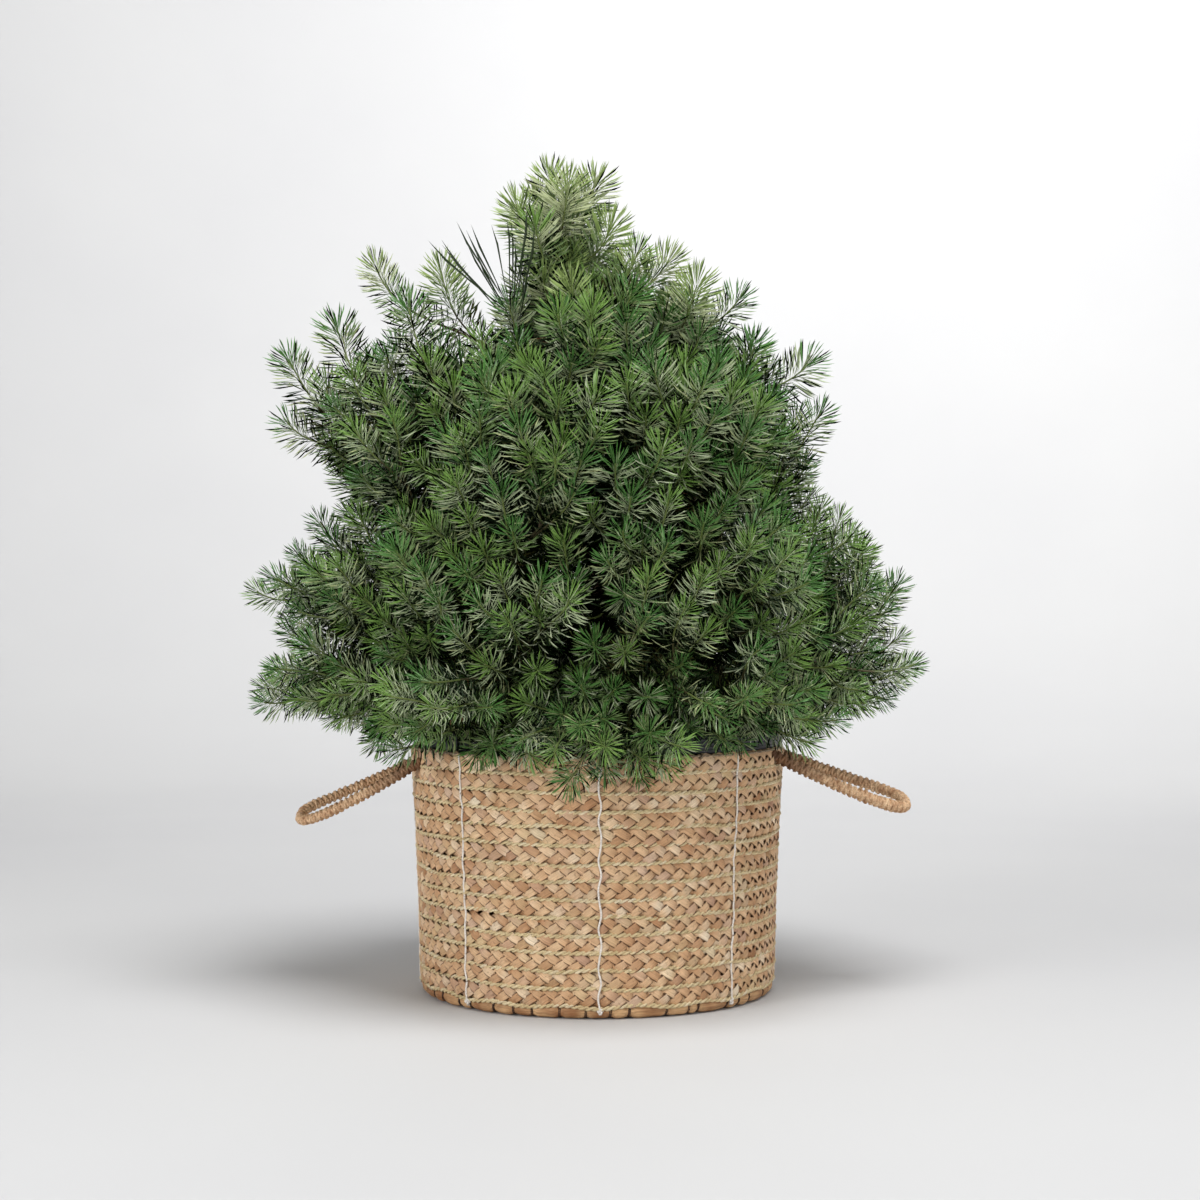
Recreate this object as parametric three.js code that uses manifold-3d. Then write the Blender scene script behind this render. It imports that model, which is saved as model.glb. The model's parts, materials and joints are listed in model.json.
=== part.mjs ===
// A young stone pine in a nursery pot, standing in a round basket of braided water hyacinth.
// Millimetres, +Z up, +X to the right, -Y to the front. The origin is the centre of the basket's flat underside.
// The trunk runs up through the crown. Each bough leaves it at its own height and carries one mass of foliage.
import * as THREE from "three";
import { mergeVertices } from "three/addons/utils/BufferGeometryUtils.js";
import Module from "manifold-3d";

const wasm = await Module();
wasm.setup();

// ---- driving dimensions ----

const GAP = 0.3; // between any two solids that meet

const BASKET = {
  height: 184,
  topRadius: 140.5,
  footRadius: 133.5,
  edgeRadius: 124, // of the base, which the lowest course turns under to meet
  cornerRadius: 7,
  wall: 8,
  baseThickness: 8,
  rings: 3, // the wall's steps in height
  sides: 28,
};
const POT = {
  shift: 3, // the pot stands a little off the basket's centre, to the right
  rimTop: 197.5,
  lipRadius: 137,
  shoulderRadius: 126,
  footRadius: 98,
  wall: 2.6,
  sides: 28,
};
const SOIL_BELOW_RIM = 20;
// Each handle is one stiff wrapped rope. It leaves the top course at two places, spread across, and bends down.
const HANDLE = { spread: 50, sag: 3.2, steps: 16, sides: 7 };
const HANDLES = [
  { name: "handle_right", side: 1, radius: 5.4, reach: 238, root: 177, tip: 140 },
  { name: "handle_left", side: -1, radius: 4.8, reach: 229, root: 172, tip: 130 },
];

const SOIL_TOP = POT.rimTop - SOIL_BELOW_RIM;
const TRUNK = {
  footRadius: 11, // the root flare, at the soil
  stemRadius: 7,
  tipRadius: 1.8,
  tip: 578,
  sides: 8,
  steps: 10,
};
const BOUGH = { sides: 5, steps: 2, intoMass: 12, sag: 0.1 };

// Each tier of the crown: the stretch of trunk that its boughs leave, the bough's root and end radius, how much of
// a bough's way is bare, and the half-width and half-thickness of its masses.
// Each bough: turn in degrees from the right, counter-clockwise from above, how far its mass reaches from the
// trunk, and the height of that furthest point. Those that hang over the basket's edge have an underside.
const TIERS = [
  {
    name: "skirt",
    from: 206,
    spread: 30,
    rootRadius: 4,
    endRadius: 2.6,
    bare: 0.26,
    halfWidth: 92,
    halfDepth: 46,
    boughs: [
      { name: "right", turn: 357, reach: 262, tip: 248, underside: 200 },
      { name: "back_right", turn: 44, reach: 252, tip: 244, underside: 190 },
      { name: "back", turn: 92, reach: 250, tip: 238, underside: 180 },
      { name: "back_left", turn: 139, reach: 256, tip: 236, underside: 184 },
      { name: "left", turn: 184, reach: 274, tip: 236, underside: 186 },
      { name: "front_left", turn: 228, reach: 236, tip: 220, underside: 178 },
      { name: "front", turn: 270, reach: 218, tip: 212, underside: 170 },
      { name: "front_right", turn: 311, reach: 228, tip: 226, underside: 192 },
    ],
  },
  {
    name: "lower",
    from: 256,
    spread: 40,
    rootRadius: 3.8,
    endRadius: 2.4,
    bare: 0.22,
    halfWidth: 104,
    halfDepth: 66,
    boughs: [
      { name: "right", turn: 8, reach: 234, tip: 328 },
      { name: "back_right", turn: 68, reach: 232, tip: 336 },
      { name: "back_left", turn: 126, reach: 236, tip: 332 },
      { name: "left", turn: 180, reach: 242, tip: 308 },
      { name: "front_left", turn: 236, reach: 214, tip: 322 },
      { name: "front_right", turn: 300, reach: 216, tip: 330 },
    ],
  },
  {
    name: "upper",
    from: 322,
    spread: 44,
    rootRadius: 3.2,
    endRadius: 2,
    bare: 0.2,
    halfWidth: 92,
    halfDepth: 78,
    boughs: [
      { name: "right", turn: 2, reach: 162, tip: 446 },
      { name: "back_right", turn: 66, reach: 180, tip: 446 },
      { name: "back_left", turn: 130, reach: 200, tip: 458 },
      { name: "left", turn: 186, reach: 214, tip: 470 },
      { name: "front_left", turn: 246, reach: 180, tip: 442 },
      { name: "front_right", turn: 308, reach: 172, tip: 440 },
    ],
  },
  {
    name: "top",
    from: 400,
    spread: 40,
    rootRadius: 2.6,
    endRadius: 1.7,
    bare: 0.18,
    halfWidth: 58,
    halfDepth: 58,
    boughs: [
      { name: "right", turn: 352, reach: 138, tip: 518 },
      { name: "back_right", turn: 50, reach: 108, tip: 556 },
      { name: "back_left", turn: 124, reach: 112, tip: 528 },
      { name: "left", turn: 182, reach: 132, tip: 548 },
      { name: "front", turn: 276, reach: 98, tip: 528 },
    ],
  },
];
const LEADER = { from: 505, top: 627, halfWidth: 46 };

// Shoots that stand out of their mass: the mass, and where the shoot's tip is.
const PROUD_SHOOTS = [
  { mass: "leader", tip: [-44, 0, 630] },
  { mass: "leader", tip: [10, -8, 621] },
  { mass: "leader", tip: [-76, 6, 596] },
  { mass: "top_left", tip: [-170, -6, 562] },
  { mass: "top_left", tip: [-116, 10, 552] },
  { mass: "top_right", tip: [112, 4, 530] },
  { mass: "top_right", tip: [138, -12, 508] },
  { mass: "upper_left", tip: [-206, 8, 510] },
  { mass: "upper_left", tip: [-246, -10, 484] },
  { mass: "upper_left", tip: [-240, 6, 424] },
  { mass: "upper_right", tip: [164, -8, 470] },
  { mass: "lower_left", tip: [-276, -6, 292] },
  { mass: "lower_left", tip: [-236, -16, 342] },
  { mass: "lower_right", tip: [224, -20, 352] },
  { mass: "lower_right", tip: [250, 14, 300] },
];

const MASS = {
  detail: 2, // how finely the ball it is made from is divided
  lumps: 9,
  lumpHeight: 0.22,
  lumpWidth: 0.5, // radians
  proudWidth: 0.4,
  between: 2.4, // the gap left between two masses
  margin: 1.12, // by how much lumps reach past the plain shape, where two masses share their space
};
const CROWN_FOOT = 206; // over the pot and the basket
const OVERHANG = 149; // the radius outside which the foliage may hang lower
const SEED = 11;

// ---- small helpers ----

const V = (x, y, z) => new THREE.Vector3(x, y, z);
const UP = V(0, 0, 1);

function randomFrom(seed) {
  let state = seed;
  return () => {
    state = (state * 1664525 + 1013904223) % 4294967296;
    return state / 4294967296;
  };
}

function solidOf(geometry) {
  const bare = geometry.clone();
  bare.deleteAttribute("normal");
  bare.deleteAttribute("uv");
  const merged = mergeVertices(bare, 1e-3);
  return new wasm.Manifold(
    new wasm.Mesh({
      numProp: 3,
      vertProperties: new Float32Array(merged.attributes.position.array),
      triVerts: new Uint32Array(merged.index.array),
    }),
  );
}

function geometryOf(solid) {
  const mesh = solid.getMesh();
  const positions = new Float32Array(mesh.numVert * 3);
  for (let i = 0; i < mesh.numVert; i++) {
    positions.set(mesh.vertProperties.subarray(i * mesh.numProp, i * mesh.numProp + 3), i * 3);
  }
  const geometry = new THREE.BufferGeometry();
  geometry.setAttribute("position", new THREE.BufferAttribute(positions, 3));
  geometry.setIndex(new THREE.BufferAttribute(mesh.triVerts, 1));
  geometry.computeVertexNormals();
  return geometry;
}

const largest = (solid) => solid.decompose().reduce((a, b) => (a.volume() > b.volume() ? a : b));

function material(color, roughness, metalness = 0) {
  return new THREE.MeshStandardMaterial({ color, roughness, metalness });
}

const FINISH = {
  hyacinth: material(0xc49a6c, 0.85),
  plastic: material(0x16181a, 0.4),
  peat: material(0x2a1d14, 1),
  bark: material(0x6e5138, 0.9),
  foliage: material(0x3f5a32, 0.7),
};

const tree = new THREE.Group();

function add(name, geometry, finish) {
  const mesh = new THREE.Mesh(geometry, finish);
  mesh.name = name;
  tree.add(mesh);
  return mesh;
}

// A closed shape turned about the vertical axis, from [radius, height] pairs.
function turned(profile, sides) {
  const points = profile.map(([radius, height]) => new THREE.Vector2(radius, height));
  return new THREE.LatheGeometry(points, sides).rotateX(Math.PI / 2);
}

// A limb along a curve, from a capped cylinder bent to it. grow thickens and lengthens it.
function limb(curve, radiusAt, sides, steps, grow = 0) {
  const geometry = new THREE.CylinderGeometry(1, 1, 1, sides, steps);
  const frames = curve.computeFrenetFrames(steps, false);
  const at = geometry.attributes.position;
  for (let i = 0; i < at.count; i++) {
    const step = Math.round((at.getY(i) + 0.5) * steps);
    const share = step / steps;
    const radius = radiusAt(share) + grow;
    const past = (step === steps ? grow : 0) - (step === 0 ? grow : 0);
    const place = curve
      .getPointAt(share)
      .addScaledVector(frames.tangents[step], past)
      .addScaledVector(frames.binormals[step], at.getX(i) * radius)
      .addScaledVector(frames.normals[step], at.getZ(i) * radius);
    at.setXYZ(i, place.x, place.y, place.z);
  }
  return geometry;
}

// ---- basket, pot and soil ----

function wallRadius(height) {
  const share = height / BASKET.height;
  return THREE.MathUtils.lerp(BASKET.footRadius, BASKET.topRadius, Math.pow(share, 1.6));
}

function basketWall() {
  const { height, edgeRadius, cornerRadius, wall, baseThickness, rings } = BASKET;
  const inner = edgeRadius + GAP;
  const corner = wallRadius(cornerRadius) - cornerRadius;
  const profile = [[inner, baseThickness], [inner, 0], [corner, 0], [corner + cornerRadius * 0.7, cornerRadius * 0.3]];
  for (let i = 0; i <= rings; i++) {
    const level = THREE.MathUtils.lerp(cornerRadius, height, i / rings);
    profile.push([wallRadius(level), level]);
  }
  for (let i = rings; i >= 0; i--) {
    const level = THREE.MathUtils.lerp(baseThickness, height, i / rings);
    profile.push([wallRadius(level) - wall, level]);
  }
  profile.push(profile[0]);
  return turned(profile, BASKET.sides);
}

function basketBase() {
  const radius = BASKET.edgeRadius;
  return turned([[0, 0], [radius, 0], [radius, BASKET.baseThickness], [0, BASKET.baseThickness]], BASKET.sides);
}

const potFloor = BASKET.baseThickness + GAP;
const lipFoot = BASKET.height + GAP;

// The pot stands on the basket's base, and its folded lip lies over the basket's rim.
function potShell() {
  const { rimTop, lipRadius, shoulderRadius, footRadius, wall } = POT;
  const profile = [
    [0, potFloor],
    [footRadius, potFloor],
    [shoulderRadius, lipFoot],
    [lipRadius, lipFoot],
    [lipRadius, rimTop],
    [lipRadius - wall, rimTop],
    [lipRadius - wall, lipFoot + wall * 2],
    [shoulderRadius - wall, lipFoot],
    [footRadius - wall, potFloor + wall],
    [0, potFloor + wall],
  ];
  return turned(profile, POT.sides).translate(POT.shift, 0, 0);
}

function soilPlug() {
  const { shoulderRadius, footRadius, wall } = POT;
  const low = potFloor + wall + GAP;
  const slope = (shoulderRadius - footRadius) / (lipFoot - potFloor - wall);
  const inside = (height) => footRadius + slope * (height - potFloor - wall) - wall - GAP;
  const profile = [[0, low], [inside(low), low], [inside(SOIL_TOP), SOIL_TOP], [0, SOIL_TOP]];
  return turned(profile, POT.sides).translate(POT.shift, 0, 0);
}

// ---- handles ----

// A parabola seen from above, which falls from its two roots to its tip.
class HandleCurve extends THREE.Curve {
  constructor(row) {
    super();
    Object.assign(this, row);
  }

  getPoint(share, target = new THREE.Vector3()) {
    const across = share * 2 - 1;
    const rootOut = Math.sqrt(BASKET.topRadius ** 2 - HANDLE.spread ** 2) - BASKET.wall;
    const out = THREE.MathUtils.lerp(this.reach - this.radius, rootOut, across ** 2);
    const height = THREE.MathUtils.lerp(this.tip, this.root, Math.abs(across) ** HANDLE.sag);
    return target.set(this.side * out, this.side * across * HANDLE.spread, height);
  }
}

function handle(row) {
  const rope = limb(new HandleCurve(row), () => row.radius, HANDLE.sides, HANDLE.steps);
  const width = wallRadius(row.root) + GAP;
  const insideBasket = turned([[0, 0], [width, 0], [width, BASKET.height * 2], [0, BASKET.height * 2]], BASKET.sides);
  return geometryOf(largest(solidOf(rope).subtract(solidOf(insideBasket))));
}

// ---- trunk and boughs ----

const trunkCurve = new THREE.CatmullRomCurve3([
  V(2, 0, SOIL_TOP - TRUNK.footRadius), // below the cut
  V(2, 0, SOIL_TOP + TRUNK.footRadius),
  V(4, -2, 260),
  V(-4, 2, 350),
  V(-18, 1, 440),
  V(-29, -1, 520),
  V(-31, 0, TRUNK.tip),
]);

function trunkRadius(share) {
  const flare = (TRUNK.footRadius - TRUNK.stemRadius) * Math.exp(-share * 28);
  return flare + THREE.MathUtils.lerp(TRUNK.stemRadius, TRUNK.tipRadius, share);
}

const trunkAt = (height) => {
  const share = (height - SOIL_TOP) / (TRUNK.tip - SOIL_TOP);
  return trunkCurve.getPointAt(THREE.MathUtils.clamp(share, 0, 1));
};

function trunkSolid(grow) {
  const whole = solidOf(limb(trunkCurve, trunkRadius, TRUNK.sides, TRUNK.steps, grow));
  return whole.trimByPlane([0, 0, 1], SOIL_TOP + GAP);
}

const trunkClearance = trunkSolid(GAP);

// Where each bough leaves the trunk, and where its mass begins and ends.
const limbs = TIERS.flatMap((tier) =>
  tier.boughs.map((row, i) => {
    const count = tier.boughs.length;
    const height = tier.from + (tier.spread * ((i * 3) % count)) / count;
    const root = trunkAt(height);
    const turn = THREE.MathUtils.degToRad(row.turn);
    const tip = V(root.x + row.reach * Math.cos(turn), root.y + row.reach * Math.sin(turn), row.tip);
    const start = root.clone().lerp(tip, tier.bare);
    return { ...tier, ...row, name: `${tier.name}_${row.name}`, root, tip, start };
  }),
);

// ---- masses of foliage ----

function massFrame(start, tip, halfWidth, halfDepth) {
  const along = tip.clone().sub(start).normalize();
  const across = Math.abs(along.z) > 0.98 ? V(1, 0, 0) : V(0, 0, 1).cross(along).normalize();
  const over = along.clone().cross(across);
  const axes = [along, across, over];
  const halves = [start.distanceTo(tip) / 2, halfWidth, halfDepth];
  return { centre: start.clone().lerp(tip, 0.5), axes, halves };
}

const crown = [
  ...limbs.map((l) => ({ ...l, ...massFrame(l.start, l.tip, l.halfWidth, l.halfDepth) })),
  {
    name: "leader",
    ...massFrame(trunkAt(LEADER.from), trunkAt(TRUNK.tip).setZ(LEADER.top), LEADER.halfWidth, LEADER.halfWidth),
  },
];

// How far a mass's plain shape reaches from its centre in a direction, as its width seen that way.
const reachAlong = (mass, direction) =>
  Math.hypot(...mass.axes.map((axis, k) => mass.halves[k] * axis.dot(direction)));

// The distance from the centre to the plain shape's skin in a direction.
const skinAt = (mass, direction) =>
  1 / Math.hypot(...mass.axes.map((axis, k) => axis.dot(direction) / mass.halves[k]));

const smoothLump = (angle, width) => Math.exp(-((angle / width) ** 2));

// A ball pushed out to the mass's shape, with a lump for each group of shoots and a peak for each proud one.
function lumpyBall(mass, random) {
  const lumps = [];
  while (lumps.length < MASS.lumps) {
    const direction = V(random() * 2 - 1, random() * 2 - 1, random() * 2 - 1);
    if (direction.length() < 1 && direction.dot(mass.axes[0]) > -0.2) lumps.push(direction.normalize());
  }
  const peaks = PROUD_SHOOTS.filter((row) => row.mass === mass.name).map((row) => {
    const offset = V(...row.tip).sub(mass.centre);
    return { length: offset.length(), direction: offset.normalize() };
  });
  const ball = mergeVertices(stripped(new THREE.IcosahedronGeometry(1, MASS.detail)), 1e-4);
  const at = ball.attributes.position;
  const nearest = peaks.map((peak) => nearestVertex(at, peak.direction));
  for (let i = 0; i < at.count; i++) {
    let direction = V(at.getX(i), at.getY(i), at.getZ(i)).normalize();
    const lump = lumps.reduce((sum, l) => Math.max(sum, smoothLump(direction.angleTo(l), MASS.lumpWidth)), 0);
    let radius = skinAt(mass, direction) * (1 - MASS.lumpHeight * (0.5 - lump));
    peaks.forEach((peak, k) => {
      if (nearest[k] === i) direction = peak.direction;
      const share = smoothLump(direction.angleTo(peak.direction), MASS.proudWidth);
      radius = Math.max(radius, THREE.MathUtils.lerp(radius, peak.length, share));
    });
    const place = mass.centre.clone().addScaledVector(direction, radius);
    at.setXYZ(i, place.x, place.y, place.z);
  }
  return ball;
}

function stripped(geometry) {
  geometry.deleteAttribute("normal");
  geometry.deleteAttribute("uv");
  return geometry;
}

function nearestVertex(at, direction) {
  let best = 0;
  let least = Infinity;
  for (let i = 0; i < at.count; i++) {
    const angle = V(at.getX(i), at.getY(i), at.getZ(i)).angleTo(direction);
    if (angle < least) [best, least] = [i, angle];
  }
  return best;
}

// Two masses that meet share their space at a flat face, nearer to the smaller one.
function withoutNeighbours(solid, mass) {
  return crown.reduce((left, other) => {
    if (other === mass) return left;
    const direction = other.centre.clone().sub(mass.centre);
    const distance = direction.length();
    direction.normalize();
    const own = reachAlong(mass, direction) * MASS.margin;
    const theirs = reachAlong(other, direction) * MASS.margin;
    if (own + theirs < distance) return left;
    const keep = (distance * own) / (own + theirs) - MASS.between / 2;
    const offset = mass.centre.dot(direction) + keep;
    return left.trimByPlane([-direction.x, -direction.y, -direction.z], -offset);
  }, solid);
}

const underCrown = (() => {
  const plug = new THREE.CylinderGeometry(1, 1, 1, BASKET.sides, 1).rotateX(Math.PI / 2).translate(0, 0, 0.5);
  return solidOf(plug.scale(OVERHANG, OVERHANG, CROWN_FOOT));
})();

const random = randomFrom(SEED);
const shapes = crown.map((mass) => {
  const whole = solidOf(lumpyBall(mass, random)).trimByPlane([0, 0, 1], mass.underside ?? CROWN_FOOT);
  return largest(withoutNeighbours(whole, mass).subtract(underCrown));
});

// ---- boughs, each as long as its way to its mass ----

const ray = new THREE.Raycaster();
const boughs = limbs.map((row, i) => {
  const target = crown[i].centre.clone().lerp(row.start, 0.4);
  const direction = target.clone().sub(row.root).normalize();
  ray.set(row.root, direction);
  const skin = new THREE.Mesh(geometryOf(shapes[i]), new THREE.MeshBasicMaterial({ side: THREE.DoubleSide }));
  const hit = ray.intersectObject(skin)[0];
  const length = (hit ? hit.distance : row.root.distanceTo(target)) + BOUGH.intoMass;
  const end = row.root.clone().addScaledVector(direction, length);
  const middle = row.root.clone().lerp(end, 0.5).addScaledVector(UP, -length * BOUGH.sag);
  const curve = new THREE.QuadraticBezierCurve3(row.root, middle, end);
  const radiusAt = (share) => THREE.MathUtils.lerp(row.rootRadius, row.endRadius, share);
  const made = (grow) => solidOf(limb(curve, radiusAt, BOUGH.sides, BOUGH.steps, grow));
  return { name: row.name, solid: made(0).subtract(trunkClearance), clearance: made(GAP) };
});

const woodClearance = boughs.reduce((all, bough) => all.add(bough.clearance), trunkClearance);

// ---- the assembly ----

add("basket_base", basketBase(), FINISH.hyacinth);
add("basket_wall", basketWall(), FINISH.hyacinth);
HANDLES.forEach((row) => add(row.name, handle(row), FINISH.hyacinth));
add("nursery_pot", potShell(), FINISH.plastic);
add("soil", soilPlug(), FINISH.peat);
add("trunk", geometryOf(trunkSolid(0)), FINISH.bark);
boughs.forEach((bough, i) => {
  const earlier = boughs.slice(0, i).map((other) => other.clearance);
  const own = earlier.reduce((solid, other) => solid.subtract(other), bough.solid);
  add(`bough_${bough.name}`, geometryOf(largest(own)), FINISH.bark);
});
crown.forEach((mass, i) => {
  add(`foliage_${mass.name}`, geometryOf(largest(shapes[i].subtract(woodClearance))), FINISH.foliage);
});

export default tree;
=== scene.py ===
# %% [markdown]
# # A young potted pine in a braided basket
#
# The real thing is a small stone pine, about 63 cm tall with its container. It grows in a black
# nursery pot, and the pot is dropped into a basket of plaited water hyacinth with two rope handles.
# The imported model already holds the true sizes. This lesson keeps that frame and gives every
# piece its looks: plaited strands, twisted rope, bark, twigs and well over a hundred thousand
# needles. Lengths are in metres, X runs to the right, Y to the back and Z up.

# %% Load the frame
import itertools
import json
import math

import bmesh
import bpy
import numpy as np
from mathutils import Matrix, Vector, noise
from mathutils.bvhtree import BVHTree

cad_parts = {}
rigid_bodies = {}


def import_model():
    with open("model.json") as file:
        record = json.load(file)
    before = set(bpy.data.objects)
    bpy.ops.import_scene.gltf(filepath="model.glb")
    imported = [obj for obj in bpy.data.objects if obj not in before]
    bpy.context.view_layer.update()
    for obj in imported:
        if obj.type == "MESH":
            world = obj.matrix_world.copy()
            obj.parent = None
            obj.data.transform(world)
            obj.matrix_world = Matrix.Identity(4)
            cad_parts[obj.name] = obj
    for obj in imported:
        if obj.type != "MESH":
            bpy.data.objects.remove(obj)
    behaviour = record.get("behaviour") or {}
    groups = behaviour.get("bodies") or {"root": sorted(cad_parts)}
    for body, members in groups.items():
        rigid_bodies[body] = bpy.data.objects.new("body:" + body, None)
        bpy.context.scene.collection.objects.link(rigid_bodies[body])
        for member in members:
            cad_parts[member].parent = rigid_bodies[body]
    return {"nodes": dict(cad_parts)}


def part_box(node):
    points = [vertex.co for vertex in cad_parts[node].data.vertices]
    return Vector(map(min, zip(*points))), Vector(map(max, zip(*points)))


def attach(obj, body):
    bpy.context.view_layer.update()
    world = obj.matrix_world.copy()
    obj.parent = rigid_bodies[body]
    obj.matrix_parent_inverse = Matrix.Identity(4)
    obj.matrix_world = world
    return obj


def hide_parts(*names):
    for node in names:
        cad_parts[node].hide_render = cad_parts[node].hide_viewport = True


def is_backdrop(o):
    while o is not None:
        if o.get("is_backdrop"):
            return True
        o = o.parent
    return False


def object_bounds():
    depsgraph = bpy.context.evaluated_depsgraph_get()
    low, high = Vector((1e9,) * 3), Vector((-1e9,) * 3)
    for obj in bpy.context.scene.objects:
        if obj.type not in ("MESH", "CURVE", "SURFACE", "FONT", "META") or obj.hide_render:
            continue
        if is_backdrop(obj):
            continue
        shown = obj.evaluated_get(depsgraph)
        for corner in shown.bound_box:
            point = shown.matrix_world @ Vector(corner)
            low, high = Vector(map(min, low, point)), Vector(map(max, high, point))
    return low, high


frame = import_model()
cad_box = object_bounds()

MM = 0.001
scene = bpy.context.scene
print("nodes in the frame:", len(frame["nodes"]))
print("box of the frame:", [[round(value, 3) for value in corner] for corner in cad_box])

# %% [markdown]
# ## Camera
#
# The plant is looked at from straight in front, at about half its height. A level camera keeps
# upright lines upright, and a lens a little longer than normal keeps the basket's rim nearly flat.
# The distance and the lens are set once here, because everything else is judged through them.

# %% Place the camera
CAMERA_PLACE = (0.002, -1.65, 0.293)
CAMERA_LENS = 65.3

camera_data = bpy.data.cameras.new("camera")
camera_data.lens = CAMERA_LENS
camera = bpy.data.objects.new("camera", camera_data)
camera.location = CAMERA_PLACE
camera.rotation_euler = (math.radians(90), 0, 0)
scene.collection.objects.link(camera)
scene.camera = camera
print("camera at", CAMERA_PLACE, "with a lens of", CAMERA_LENS, "mm")

# %% [markdown]
# ## Node trees written as sums
#
# Materials and Geometry Nodes are both node trees. Clicking nodes together is slow to read back,
# so a tree is written here as ordinary sums: `Wire` wraps one output socket, and adding or
# multiplying wires adds Math nodes. Every other node comes from `Graph.node`, which takes the
# node's type, its settings, and the values or wires of its sockets.


# %% Wrap sockets in Python
class Wire:
    """One output socket of a node tree. Arithmetic on it adds Math nodes to the tree."""

    def __init__(self, graph, socket):
        self.graph = graph
        self.socket = socket

    def math(self, operation, *values):
        return self.graph.node("ShaderNodeMath", {"operation": operation}, dict(enumerate(values)))

    def __add__(self, other):
        return self.math("ADD", self, other)

    def __radd__(self, other):
        return self.math("ADD", other, self)

    def __sub__(self, other):
        return self.math("SUBTRACT", self, other)

    def __rsub__(self, other):
        return self.math("SUBTRACT", other, self)

    def __mul__(self, other):
        return self.math("MULTIPLY", self, other)

    def __rmul__(self, other):
        return self.math("MULTIPLY", other, self)

    def __truediv__(self, other):
        return self.math("DIVIDE", self, other)

    def __rtruediv__(self, other):
        return self.math("DIVIDE", other, self)

    def __pow__(self, other):
        return self.math("POWER", self, other)


class Graph:
    """Writes the nodes of one tree."""

    def __init__(self, tree):
        self.tree = tree

    def node(self, kind, settings=None, sockets=None, output=0):
        """Adds a node, sets it up, joins its sockets, and returns one of its outputs."""
        made = self.tree.nodes.new(kind)
        for name, value in (settings or {}).items():
            if name == "stops":
                self.set_stops(made.color_ramp, value)
            else:
                setattr(made, name, value)
        for name, value in (sockets or {}).items():
            if isinstance(value, Wire):
                self.tree.links.new(value.socket, made.inputs[name])
            else:
                made.inputs[name].default_value = value
        return Wire(self, made.outputs[output]) if len(made.outputs) else None

    @staticmethod
    def set_stops(ramp, stops):
        while len(ramp.elements) < len(stops):
            ramp.elements.new(0.5)
        for element, (place, value) in zip(ramp.elements, stops):
            element.position = place
            element.color = value


# %% [markdown]
# ## Materials
#
# Real surfaces are never one flat colour: dried leaf has fibres and stains, plastic has dust,
# bark has plates. Each finish below starts from the Principled shader. What is the same all over
# is set on the shader's own sockets, and only what changes over the surface is fed by nodes.


# %% Start a finish
def colour(red, green, blue):
    """A screen colour of 0 to 255 as the linear colour that the nodes work in."""
    screen = np.array([red, green, blue]) / 255
    linear = np.where(screen <= 0.04045, screen / 12.92, ((screen + 0.055) / 1.055) ** 2.4)
    return (*[float(value) for value in linear], 1.0)


class Finish(Graph):
    """A material whose Principled shader is fed by the nodes that this class writes."""

    def __init__(self, name, **constants):
        self.material = bpy.data.materials.new(name)
        self.material.use_nodes = True
        super().__init__(self.material.node_tree)
        self.shader = self.tree.nodes["Principled BSDF"]
        for label, value in constants.items():
            self.shader.inputs[label.replace("_", " ")].default_value = value

    def feed(self, label, wire):
        self.tree.links.new(wire.socket, self.shader.inputs[label])

    def place(self):
        return self.node("ShaderNodeTexCoord", output="Object")

    def attribute(self, name):
        return self.node("ShaderNodeAttribute", {"attribute_name": name}, output="Fac")

    def stretch(self, vector, scale):
        return self.node("ShaderNodeVectorMath", {"operation": "MULTIPLY"}, {0: vector, 1: scale})

    def vector(self, x, y, z):
        return self.node("ShaderNodeCombineXYZ", None, {"X": x, "Y": y, "Z": z})

    def noise(self, vector, scale, detail=3.0, roughness=0.5):
        sockets = {"Vector": vector, "Scale": scale, "Detail": detail, "Roughness": roughness}
        return self.node("ShaderNodeTexNoise", None, sockets, output="Fac")

    def ramp(self, factor, stops):
        return self.node("ShaderNodeValToRGB", {"stops": stops}, {"Fac": factor})

    def mix(self, factor, first, second, blend="MIX"):
        settings = {"data_type": "RGBA", "blend_type": blend}
        return self.node("ShaderNodeMix", settings, {0: factor, 6: first, 7: second}, output=2)

    def spread(self, value, low, high, bottom=0.0, top=1.0):
        sockets = {0: value, 1: low, 2: high, 3: bottom, 4: top}
        return self.node("ShaderNodeMapRange", {"clamp": True}, sockets)

    def bump(self, height, distance, strength=1.0):
        sockets = {"Height": height, "Distance": distance, "Strength": strength}
        self.feed("Normal", self.node("ShaderNodeBump", None, sockets))


# %% [markdown]
# Water hyacinth is a flattened dried stalk. Along it run fine fibres, and one stalk is straw
# yellow where the next is rust brown or faintly pink. The strand recipe further down stores three
# numbers on each strand: how far along it a point lies, how far across, and how near its rim. So
# fibres can follow the strand's own bends, and shade can be painted along the edges where strands
# lie on one another. A fourth number, `stalk`, tells the strands apart.


# %% Dried leaf finishes
def fibres(finish, length_scale, width_scale):
    """Fine streaks that run along a strand, from 0 to 1."""
    along = finish.attribute("along") * length_scale
    across = finish.attribute("across") * width_scale
    return finish.noise(finish.vector(along, across, finish.attribute("stalk") * 9.0), 1.0, 4.0, 0.6)


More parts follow.
